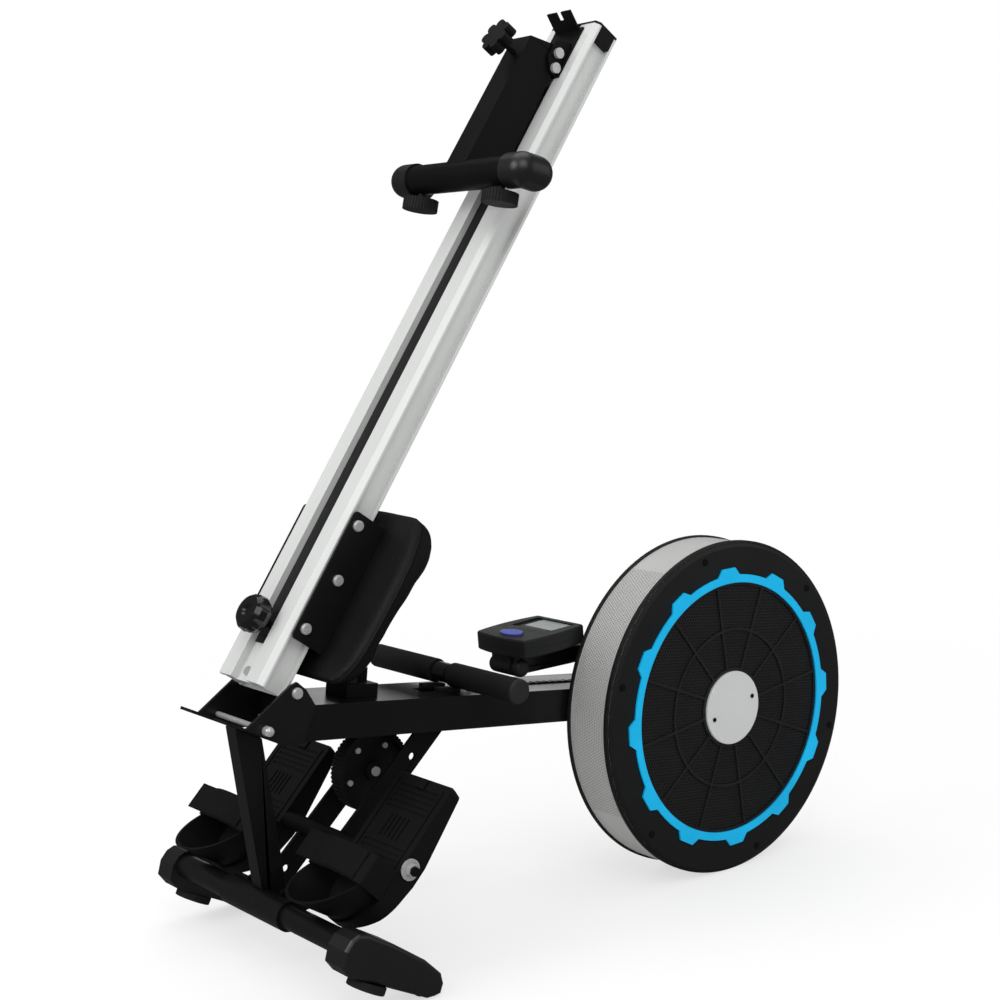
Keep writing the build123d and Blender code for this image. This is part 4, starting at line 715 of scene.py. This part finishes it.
@dataclass(frozen=True)
class DisplayGlass:
    """Grey display with a dark printed border and faint unlit fields."""

    name: str = "console_display"
    glass: Colour = (0.36, 0.40, 0.38)
    border: Colour = (0.008, 0.008, 0.009)
    middle: Pair = (0.0936, -0.003)
    half: Pair = (0.0185, 0.030)
    blur: float = 0.0002
    pitch: Pair = (0.022, 0.019)
    gaps: Pair = (0.1, 0.08)
    field_share: float = 0.35
    unlit_tone: float = 0.84
    roughness: float = 0.14
    window_rough: float = 0.08
    coat: float = 0.4

    def material(self) -> bpy.types.Material:
        """Builds the material.

        Returns:
            The material.
        """
        sheet = NodeSheet(self.name)
        at = sheet.place(CONSOLE)
        x, y, _ = sheet.axes(at)
        from_x = abs(x - self.middle[0]) - self.half[0]
        from_y = abs(y - self.middle[1]) - self.half[1]
        window = (1 - from_x.smooth(-self.blur, self.blur)) * (1 - from_y.smooth(-self.blur, self.blur))
        row = ((x - self.middle[0]) / self.pitch[0] + 0.5).folded()
        column = ((y - self.middle[1]) / self.pitch[1] + 0.5).folded()
        field = (row > self.gaps[0]) * (column > self.gaps[1])
        unlit = sheet.mix(field * self.field_share, lighter(self.glass, self.unlit_tone), self.glass)
        return sheet.finish(
            Base_Color=sheet.mix(window, self.border, unlit),
            Roughness=self.roughness + window * self.window_rough, Coat_Weight=self.coat)


class Finish(Enum):
    """Finishes of the machine's pieces."""

    BLACK_STEEL = PowderCoat("black_steel", (0.005, 0.005, 0.0052), 0.3)
    SATIN_STEEL = PowderCoat("satin_black_steel", (0.0045, 0.0045, 0.0048), 0.42, 0.09)
    BEAM_STEEL = Studded("beam_steel", (0.005, 0.005, 0.0052), 0.3, -0.001, 0.0105, -0.005)
    PULLEY = Studded("pulley_plastic", (0.005, 0.005, 0.0054), 0.46, 0.030, 0.045, -0.0032)
    BLACK_PLASTIC = Moulded("black_plastic", (0.005, 0.005, 0.0054), 0.46, shine=0.16)
    BOOT_PLASTIC = Moulded("boot_plastic", (0.007, 0.007, 0.0075), 0.34, shine=0.6)
    COVER_PLASTIC = Moulded("cover_plastic", (0.007, 0.0072, 0.0075), 0.44, 900.0, 0.00012, 0.4)
    CONSOLE_PLASTIC = Moulded("console_plastic", (0.013, 0.0135, 0.0145), 0.46, 1100.0)
    KNOB_GLOSS = Moulded("knob_gloss", (0.005, 0.005, 0.005), 0.14, 500.0, 0.00002, 0.5)
    RUBBER = Moulded("rubber", (0.008, 0.008, 0.008), 0.66, 800.0, 0.00014)
    LINER = Moulded("slot_liner", (0.006, 0.006, 0.0065), 0.55)
    CAP_PLASTIC = Moulded("cap_plastic", (0.017, 0.017, 0.0175), 0.5)
    BLUE = Moulded("ring_blue", (0.004, 0.41, 0.74), 0.4, 700.0, 0.00004, 0.12)
    BUTTON = Moulded("button_blue", (0.055, 0.075, 0.42), 0.18, 500.0, 0.00002)
    RAIL_METAL = DrawnMetal("rail_aluminium", (0.60, 0.61, 0.60), 0.4, RAIL, (2.0, 700.0, 700.0), 0.15)
    CAP_METAL = DrawnMetal("hub_silver", (0.62, 0.63, 0.62), 0.4, FAN, (300.0, 40.0, 300.0), 0.15)
    BARE_STEEL = DrawnMetal("bare_steel", (0.42, 0.42, 0.43), 0.34, BEAM, (60.0, 500.0, 500.0))
    CHROME = Plated("chrome", (0.50, 0.50, 0.51), 0.26, 0.5)
    BAND = PerforatedBand()
    SCREEN = WovenScreen()
    VINYL = Vinyl()
    WEBBING = Webbing()
    FOAM = Foam()
    DISPLAY = DisplayGlass()


FINISHES: dict[Finish, tuple[str, ...]] = {
    Finish.BEAM_STEEL: ("main_beam",),
    Finish.PULLEY: ("return_pulley",),
    Finish.BLACK_STEEL: ("hinge_housing", "front_strut", "front_stabiliser", "console_arm", "seat_carriage",
                         "handle_bar"),
    Finish.SATIN_STEEL: ("pedal_bars", "pedal_axle", "rear_leg", "leg_bracket", "rail_hinge_lug",
                         "cover_screws"),
    Finish.BOOT_PLASTIC: ("stabiliser_boots", "rear_boots"),
    Finish.BLACK_PLASTIC: ("pedal_near", "pedal_far", "buffer_block", "block_knob", "star_knob",
                           "rail_end_plug", "fan_wheel", "transport_wheel_near", "transport_wheel_far",
                           "rollers_lower", "rollers_middle", "rollers_upper"),
    Finish.COVER_PLASTIC: ("fan_cover_near", "fan_cover_far"),
    Finish.CONSOLE_PLASTIC: ("console_base", "console_top"),
    Finish.KNOB_GLOSS: ("rail_knob",),
    Finish.RUBBER: ("front_foot_near", "front_foot_far", "rear_foot_near", "rear_foot_far", "rubber_pads"),
    Finish.LINER: ("rail_liner",),
    Finish.CAP_PLASTIC: ("grip_caps",),
    Finish.BLUE: ("fan_ring",),
    Finish.BUTTON: ("mode_button",),
    Finish.RAIL_METAL: ("seat_rail",),
    Finish.CAP_METAL: ("hub_cap",),
    Finish.BARE_STEEL: ("sprocket", "drive_chain", "axle_bearings", "fan_axle"),
    Finish.CHROME: ("pivot_bolt", "lock_pin", "axle_nuts", "rail_bolts", "seat_bolts"),
    Finish.BAND: ("fan_band",),
    Finish.SCREEN: ("fan_grille",),
    Finish.DISPLAY: ("console_lens",),
}

SOFT_EDGES: dict[str, float] = {
    "main_beam": 0.0012, "hinge_housing": 0.0008, "front_strut": 0.0016, "pedal_bars": 0.0006,
    "seat_carriage": 0.0006, "rear_leg": 0.002, "leg_bracket": 0.0006, "buffer_block": 0.0012,
    "rail_end_plug": 0.0008, "seat_rail": 0.0005, "fan_ring": 0.0006, "console_arm": 0.0006,
    "star_knob": 0.0012, "return_pulley": 0.0005, "hub_cap": 0.0003, "axle_nuts": 0.0004,
    "rail_bolts": 0.0007, "grip_caps": 0.0004, "rubber_pads": 0.001, "mode_button": 0.0003,
    "transport_wheel_near": 0.0003, "transport_wheel_far": 0.0003,
}


class Palette:
    """Makes each finish's material once."""

    def __init__(self) -> None:
        """Starts with no material made."""
        self.made: dict[Finish, bpy.types.Material] = {}

    def of(self, finish: Finish) -> bpy.types.Material:
        """Material of a finish.

        Args:
            finish: The finish.

        Returns:
            Its material, made at its first use.
        """
        if finish not in self.made:
            self.made[finish] = finish.value.material()
        return self.made[finish]

    def paint(self, piece: bpy.types.Object, finish: Finish) -> None:
        """Gives a piece one finish all over."""
        piece.data.materials.clear()
        piece.data.materials.append(self.of(finish))


def deselect() -> None:
    """Leaves nothing selected, in object mode."""
    if bpy.context.mode != "OBJECT":
        bpy.ops.object.mode_set(mode="OBJECT")
    bpy.ops.object.select_all(action="DESELECT")


def pick(piece: bpy.types.Object) -> None:
    """Makes a piece the only selected and the active one.

    Args:
        piece: The piece.
    """
    deselect()
    piece.select_set(True)
    bpy.context.view_layer.objects.active = piece


def apply_all(piece: bpy.types.Object) -> None:
    """Applies every modifier of a piece in order.

    Args:
        piece: The piece, left as the active one.
    """
    pick(piece)
    for modifier in list(piece.modifiers):
        bpy.ops.object.modifier_apply(modifier=modifier.name)


def settle(piece: bpy.types.Object, frame: LocalFrame) -> None:
    """Puts a piece modelled in a sub-assembly's frame into the row frame, its place in its mesh.

    Args:
        piece: The piece.
        frame: The sub-assembly's frame.
    """
    pick(piece)
    bpy.ops.object.transform_apply(location=True, rotation=True, scale=True)
    piece.data.transform(frame.matrix())
    bpy.ops.object.mode_set(mode="EDIT")
    bpy.ops.mesh.select_all(action="SELECT")
    bpy.ops.mesh.normals_make_consistent(inside=False)
    bpy.ops.object.mode_set(mode="OBJECT")
    bpy.ops.object.shade_smooth_by_angle(angle=math.radians(SMOOTH_UNDER))


def relax(piece: bpy.types.Object, share: float, passes: int) -> None:
    """Adds a smoothing modifier.

    Args:
        piece: The piece.
        share: How far each pass moves a point towards its neighbours.
        passes: Number of passes.
    """
    smooth = piece.modifiers.new("relax", "SMOOTH")
    smooth.factor = share
    smooth.iterations = passes


def select_faces(piece: bpy.types.Object, test: Callable[[Vector, Vector], bool]) -> None:
    """Selects a piece's faces in edit mode by centre and normal.

    Args:
        piece: The active mesh, in edit mode.
        test: Says of a face's centre and normal if it is wanted.
    """
    bpy.ops.mesh.select_all(action="DESELECT")
    bpy.ops.object.mode_set(mode="OBJECT")
    for face in piece.data.polygons:
        face.select = test(face.center, face.normal)
    bpy.ops.object.mode_set(mode="EDIT")
    bpy.ops.mesh.select_mode(type="FACE")


@dataclass
class Machine:
    """The carried-over pieces of the machine and how each is dressed."""

    palette: Palette
    nodes: dict[str, bpy.types.Object]
    edge_segments: int = 2
    edge_angle: float = 32.0
    weld_gap: float = 0.00001
    face_weight: int = 80

    def dress(self) -> None:
        """Gives every carried-over piece its finish and its broken edges."""
        for finish, names in FINISHES.items():
            for name in names:
                self.palette.paint(self.nodes[name], finish)
        for name, width in SOFT_EDGES.items():
            self.break_edges(self.nodes[name], width)
        LOG.info("dressed %d carried-over pieces", len(self.nodes))

    def break_edges(self, node: bpy.types.Object, width: float) -> None:
        """Rounds a piece's sharp edges with live modifiers.

        Args:
            node: The carried-over piece.
            width: Width of the rounding in metres.
        """
        pick(node)
        if node.data.has_custom_normals:
            bpy.ops.mesh.customdata_custom_splitnormals_clear()
        bpy.ops.object.shade_smooth()
        weld = node.modifiers.new("weld", "WELD")
        weld.merge_threshold = self.weld_gap
        bevel = node.modifiers.new("edges", "BEVEL")
        bevel.width = width
        bevel.segments = self.edge_segments
        bevel.limit_method = "ANGLE"
        bevel.angle_limit = math.radians(self.edge_angle)
        bevel.use_clamp_overlap = True
        normals = node.modifiers.new("normals", "WEIGHTED_NORMAL")
        normals.weight = self.face_weight
        normals.keep_sharp = True


@dataclass
class SeatPad:
    """Padded seat: the lofted form swollen by a short cloth simulation, with a sewn edge."""

    palette: Palette
    node: bpy.types.Object
    voxel: float = 0.005
    start_scale: float = 0.975
    pressure: float = 4.0
    frames: int = 20
    cap: float = 0.007
    base_z: float = -0.009
    held: float = 0.004
    merge: float = 0.00002
    quality: int = 4
    pad_relax: tuple[float, int] = (0.5, 6)
    welt_r: float = 0.0021
    welt_x: float = 0.148
    welt_z: float = -0.0155
    welt_band: float = 0.0035
    welt_sink: float = 0.4
    welt_relax: tuple[float, int] = (0.4, 2)
    sectors: int = 120

    def build(self) -> None:
        """Makes the pad and its sewn edge, riding on the seat."""
        pad = self.form()
        self.swell(pad)
        self.palette.paint(pad, Finish.VINYL)
        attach(pad, "seat")
        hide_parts("seat_cushion")
        welt = self.welt(pad)
        self.palette.paint(welt, Finish.VINYL)
        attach(welt, "seat")
        LOG.info("seat pad: %d faces", len(pad.data.polygons))

    def form(self) -> bpy.types.Object:
        """Copies the lofted solid, merged, drawn in a little and remeshed evenly.

        Returns:
            The pad before it is swollen.
        """
        deselect()
        pad = bpy.data.objects.new("seat_pad", self.node.data.copy())
        bpy.context.scene.collection.objects.link(pad)
        pick(pad)
        bpy.ops.object.mode_set(mode="EDIT")
        bpy.ops.mesh.select_all(action="SELECT")
        bpy.ops.mesh.remove_doubles(threshold=self.merge)
        bpy.ops.object.mode_set(mode="OBJECT")
        middle = sum((v.co for v in pad.data.vertices), Vector()) / len(pad.data.vertices)
        shrink = Matrix.Translation(middle) @ Matrix.Scale(self.start_scale, 4) @ Matrix.Translation(-middle)
        pad.data.transform(shrink)
        remesh = pad.modifiers.new("even", "REMESH")
        remesh.mode = "VOXEL"
        remesh.voxel_size = self.voxel
        apply_all(pad)
        return pad

    def low(self, point: Vector) -> bool:
        """True near the flat base, which stays on the carriage."""
        return (RAIL.matrix().inverted() @ point).z > self.base_z - self.held

    def swell(self, pad: bpy.types.Object) -> None:
        """Swells the pad under pressure, capped, with its base held.

        Args:
            pad: The pad.
        """
        rest = [v.co.copy() for v in pad.data.vertices]
        held = pad.vertex_groups.new(name="held")
        held.add([v.index for v in pad.data.vertices if self.low(v.co)], 1.0, "REPLACE")
        cloth = pad.modifiers.new("swell", "CLOTH")
        cloth.settings.use_pressure = True
        cloth.settings.uniform_pressure_force = self.pressure
        cloth.settings.vertex_group_mass = "held"
        cloth.settings.effector_weights.gravity = 0.0
        cloth.settings.quality = self.quality
        scene = bpy.context.scene
        for index in range(1, self.frames + 1):
            scene.frame_set(index)
        apply_all(pad)
        scene.frame_set(1)
        for vertex, start in zip(pad.data.vertices, rest):
            moved = vertex.co - start
            if moved.length > self.cap:
                vertex.co = start + moved * (self.cap / moved.length)
        self.smooth(pad)

    def smooth(self, pad: bpy.types.Object) -> None:
        """Evens the remeshed surface and doubles its resolution.

        Args:
            pad: The pad.
        """
        relax(pad, *self.pad_relax)
        finer = pad.modifiers.new("finer", "SUBSURF")
        finer.levels = 1
        finer.render_levels = 1
        apply_all(pad)
        bpy.ops.object.shade_smooth()

    def welt(self, pad: bpy.types.Object) -> bpy.types.Object:
        """Sewn welt round the pad just above its base.

        Args:
            pad: The finished pad.

        Returns:
            The welt as a closed tube.
        """
        inverse = RAIL.matrix().inverted()
        reach: list[Optional[Vector]] = [None] * self.sectors
        centre = Vector((self.welt_x, 0.0, self.welt_z))
        for vertex in pad.data.vertices:
            point = inverse @ vertex.co
            if abs(point.z - self.welt_z) < self.welt_band:
                arm = Vector((point.x - centre.x, point.y, 0.0))
                turn = math.atan2(arm.y, arm.x) / (2 * math.pi) + 0.5
                sector = int(turn * self.sectors) % self.sectors
                if reach[sector] is None or arm.length > reach[sector].length:
                    reach[sector] = arm
        curve = bpy.data.curves.new("seat_welt", "CURVE")
        curve.dimensions = "3D"
        spline = curve.splines.new("POLY")
        ring = [arm for arm in reach if arm is not None]
        spline.points.add(len(ring) - 1)
        for point, arm in zip(spline.points, ring):
            inner = arm * ((arm.length - self.welt_r * self.welt_sink) / arm.length)
            point.co = (*(RAIL.matrix() @ (centre + inner)), 1.0)
        spline.use_cyclic_u = True
        curve.bevel_depth = self.welt_r
        curve.bevel_resolution = 3
        welt = bpy.data.objects.new("seat_welt", curve)
        bpy.context.scene.collection.objects.link(welt)
        pick(welt)
        bpy.ops.object.convert(target="MESH")
        welt = bpy.context.view_layer.objects.active
        relax(welt, *self.welt_relax)
        apply_all(welt)
        bpy.ops.object.shade_smooth()
        return welt


@dataclass
class FootStrap:
    """Wide woven strap over one pedal, with a stitched overlap and a loose tail."""

    palette: Palette
    side: str
    middle_y: float
    back: float = -0.054
    front: float = -0.012
    half: float = 0.0567
    foot: float = 0.0115
    shoulder: float = 0.0528
    crown: float = 0.0647
    thick: float = 0.0024
    lap_start: float = 0.26
    lap_end: float = 0.88
    lap_narrow: float = 0.08
    lap_lift: float = 1.02
    leave: float = 0.72
    lift_off: float = 0.3
    flap_reach: float = 2.4
    ripple: float = 0.0011
    edge_drop: float = 0.0016
    hem_share: float = 0.3
    steps_across: int = 10
    steps_over: int = 64

    def build(self) -> None:
        """Makes the strap and its overlap, riding on the pedal."""
        strap = self.band("strap_band_" + self.side, 0.0, 1.0, 0.0, 0.0, 1.0)
        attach(strap, "pedal_" + self.side)
        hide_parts("strap_" + self.side)
        lap = self.band("strap_lap_" + self.side, self.lap_start, self.lap_end, self.thick * self.lap_lift,
                        self.lap_narrow, self.leave)
        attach(lap, "pedal_" + self.side)
        LOG.info("strap on the %s pedal", self.side)

    def over(self, share: float) -> tuple[float, float, float]:
        """Point on the strap's middle line and its outward lean.

        Args:
            share: Way along the strap from one side of the pedal to the other, 0 to 1.

        Returns:
            Lateral station, height and the lean of the outward normal from upright, in radians.
        """
        leg = self.shoulder - self.foot
        rise = self.crown - self.shoulder
        radius = (self.half ** 2 + rise ** 2) / (2 * rise)
        reach = math.asin(self.half / radius)
        arc = 2 * reach * radius
        way = share * (2 * leg + arc)
        if way < leg:
            return -self.half, self.foot + way, -math.pi / 2
        if way > leg + arc:
            return self.half, self.shoulder - (way - leg - arc), math.pi / 2
        turn = (way - leg) / radius - reach
        return radius * math.sin(turn), self.crown - radius + radius * math.cos(turn), turn

    def route(self, share: float, leave: float) -> tuple[float, float, float]:
        """Point on a strip that parts from the strap and runs on as a loose flap.

        Args:
            share: Way along the strip, 0 to 1.
            leave: Share of the way where it parts from the strap.

        Returns:
            Lateral station, height and the lean of the outward normal from upright, in radians.
        """
        y, z, lean = self.over(min(share, leave))
        run = max(share - leave, 0.0) * (2 * (self.shoulder - self.foot) + self.flap_reach * self.half)
        up = self.lift_off * run
        aside = math.cos(lean) * run + math.sin(lean) * up
        above = math.cos(lean) * up - math.sin(lean) * run
        return y + aside, z + above, lean

    def band(self, name: str, start: float, end: float, lift: float, narrow: float,
             leave: float) -> bpy.types.Object:
        """Strip of webbing over part of the strap's way.

        Args:
            name: The piece's name.
            start: Share of the way where it begins.
            end: Share of the way where it ends.
            lift: Height above the strap's middle line in metres.
            narrow: Share of the width left off, half on each edge.
            leave: Share of the way where it parts from the strap.

        Returns:
            The strip.
        """
        deselect()
        bpy.ops.mesh.primitive_grid_add(x_subdivisions=self.steps_across, y_subdivisions=self.steps_over,
                                        size=1.0)
        strip = bpy.context.view_layer.objects.active
        strip.name = name
        width = self.front - self.back
        for vertex in strip.data.vertices:
            across, way = vertex.co.x, vertex.co.y + 0.5
            y, z, lean = self.route(start + (end - start) * way, leave)
            free = math.sin(way * math.pi)
            sag = self.ripple * math.sin(way * math.pi * 3.0 + across * 2.0) * free
            edge = self.edge_drop * (2 * across) ** 4 * free
            out = lift + sag - edge
            vertex.co = Vector(((self.back + self.front) / 2 + across * width * (1 - narrow),
                                self.middle_y + y + math.sin(lean) * out, z + math.cos(lean) * out))
        wall = strip.modifiers.new("wall", "SOLIDIFY")
        wall.thickness = self.thick
        wall.offset = 0.0
        hem = strip.modifiers.new("hem", "BEVEL")
        hem.width = self.thick * self.hem_share
        hem.segments = 2
        hem.limit_method = "ANGLE"
        apply_all(strip)
        settle(strip, PEDAL)
        self.palette.paint(strip, Finish.WEBBING)
        return strip


@dataclass
class FoamGrip:
    """Foam sleeve over one half of the pull handle."""

    palette: Palette
    side: int
    x: float = 0.2845
    z: float = 0.005
    radius: float = 0.0169
    inner: float = 0.018
    outer: float = 0.160
    turns: int = 48
    end_ring: float = 0.0055
    end_dish: float = 0.0012
    dish_from: float = 0.004
    roll_width: float = 0.0024
    roll_angle: float = 40.0

    def build(self) -> bpy.types.Object:
        """Makes the sleeve: a drum with rolled, dished ends, riding on the handle.

        Returns:
            The sleeve.
        """
        deselect()
        name = "foam_grip_" + ("near" if self.side < 0 else "far")
        middle = self.side * (self.inner + self.outer) / 2
        bpy.ops.mesh.primitive_cylinder_add(
            vertices=self.turns, radius=self.radius, depth=self.outer - self.inner, end_fill_type="NGON",
            location=(self.x, middle, self.z), rotation=(math.pi / 2, 0.0, 0.0))
        grip = bpy.context.view_layer.objects.active
        grip.name = name
        bpy.ops.object.transform_apply(location=True, rotation=True, scale=True)
        bpy.ops.object.mode_set(mode="EDIT")
        select_faces(grip, lambda centre, normal: abs(normal.y) > 0.9)
        bpy.ops.mesh.inset(thickness=self.end_ring, depth=0.0)
        bpy.ops.object.mode_set(mode="OBJECT")
        for vertex in grip.data.vertices:
            off = math.hypot(vertex.co.x - self.x, vertex.co.z - self.z)
            if off < self.radius - self.dish_from:
                vertex.co.y += math.copysign(self.end_dish, middle - vertex.co.y)
        roll = grip.modifiers.new("roll", "BEVEL")
        roll.width = self.roll_width
        roll.segments = 4
        roll.limit_method = "ANGLE"
        roll.angle_limit = math.radians(self.roll_angle)
        apply_all(grip)
        settle(grip, BEAM)
        self.palette.paint(grip, Finish.FOAM)
        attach(grip, "handle")
        LOG.info("%s", name)
        return grip


@dataclass(frozen=True)
class Lamp:
    """Square soft lamp: where it stands, what it points at, its side in metres and its power in watts."""

    name: str
    place: Point
    aim: Point
    size: float
    power: float

    def hang(self) -> None:
        """Adds the lamp to the scene, unseen by the camera."""
        light = bpy.data.lights.new(self.name, "AREA")
        light.size = self.size
        light.energy = self.power
        lamp = bpy.data.objects.new(self.name, light)
        bpy.context.scene.collection.objects.link(lamp)
        lamp.visible_camera = False
        lamp.location = self.place
        lamp.rotation_euler = (Vector(self.aim) - Vector(self.place)).to_track_quat("-Z", "Y").to_euler()


LAMPS = (
    Lamp("key", (-1.9, -2.6, 3.2), (0.0, 0.0, 0.5), 2.6, 52.0),
    Lamp("left", (-3.0, 0.5, 2.4), (-0.1, 0.0, 0.7), 1.8, 44.0),
    Lamp("fill", (2.6, -2.4, 1.8), (0.1, 0.0, 0.5), 2.4, 12.0),
    Lamp("top", (0.2, 0.6, 3.6), (0.0, 0.0, 0.4), 2.8, 34.0),
    Lamp("back", (2.3, 3.1, 0.7), (-0.1, 0.0, 0.4), 1.2, 6.0),
)


@dataclass
class Studio:
    """Pale floor, soft lamps and the camera at the photograph's angle."""

    position: Point = (-1.573608, -1.9015, 0.871047)
    rotation: Point = (83.168268, 1.151278, -39.073180)
    lens: float = 62.298
    sensor: float = 36.0
    view_reach: float = 60.0
    floor_half: float = 12.0
    floor_colour: Colour = (0.86, 0.86, 0.86)
    fade_start: float = 0.7
    fade_end: float = 2.4
    near_glow: float = 0.62
    backdrop: float = 1.0
    mirrored: float = 0.1
    ambient: float = 0.72

    def build(self) -> None:
        """Sets the world, the floor, the lamps and the camera."""
        self.world()
        self.floor()
        for lamp in LAMPS:
            lamp.hang()
        self.camera()
        bpy.context.scene.view_settings.view_transform = "Standard"

    def world(self) -> None:
        """White to the camera, dim in reflections and a soft level as light."""
        world = bpy.data.worlds.new("studio")
        world.use_nodes = True
        sheet = NodeTree(world.node_tree)
        camera, glossy = sheet.rays()
        level = self.ambient + camera * (self.backdrop - self.ambient)
        strength = level * (1 - glossy) + glossy * self.mirrored
        shade = sheet.node("ShaderNodeBackground", {}, {"Color": WHITE, "Strength": strength})
        sheet.node("ShaderNodeOutputWorld", {}, {0: shade.outputs[0]})
        bpy.context.scene.world = world

    def floor(self) -> None:
        """Pale floor that keeps a soft shadow and fades into the backdrop."""
        deselect()
        bpy.ops.mesh.primitive_plane_add(size=2 * self.floor_half)
        floor = bpy.context.view_layer.objects.active
        floor.name = "studio_floor"
        sheet = NodeSheet("studio_floor")
        coords = sheet.node("ShaderNodeTexCoord", {}, {})
        x, y, _ = sheet.axes(coords.outputs["Object"])
        away = (x * x + y * y).root().smooth(self.fade_start, self.fade_end)
        camera, glossy = sheet.rays()
        level = camera * self.backdrop + glossy * self.mirrored
        glow = sheet.node("ShaderNodeEmission", {}, {"Color": WHITE, "Strength": level})
        share = camera * (self.near_glow + away * (1.0 - self.near_glow)) + glossy
        sheet.finish(Base_Color=self.floor_colour, Roughness=0.9, Specular_IOR_Level=0.1)
        mixed = sheet.node("ShaderNodeMixShader", {},
                           {0: share, 1: sheet.shader.outputs[0], 2: glow.outputs[0]})
        sheet.tree.links.new(mixed.outputs[0], sheet.output.inputs[0])
        floor.data.materials.append(sheet.material)

    def camera(self) -> None:
        """Places the camera where the photograph was taken from."""
        lens = bpy.data.cameras.new("camera")
        lens.lens = self.lens
        lens.sensor_width = self.sensor
        lens.clip_end = self.view_reach
        camera = bpy.data.objects.new("camera", lens)
        bpy.context.scene.collection.objects.link(camera)
        camera.location = self.position
        camera.rotation_euler = tuple(math.radians(angle) for angle in self.rotation)
        bpy.context.scene.camera = camera


def main() -> None:
    """Builds every sub-assembly in order."""
    logging.basicConfig(level=logging.INFO, format="%(name)s: %(message)s")
    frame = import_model()
    palette = Palette()
    Machine(palette, frame["nodes"]).dress()
    SeatPad(palette, frame["nodes"]["seat_cushion"]).build()
    FootStrap(palette, "near", -PEDAL_SPREAD).build()
    FootStrap(palette, "far", PEDAL_SPREAD).build()
    near = FoamGrip(palette, -1).build()
    FoamGrip(palette, 1).build()
    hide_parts("handle_grips")
    Studio().build()
    bpy.context.view_layer.update()


if __name__ == "__main__":
    main()
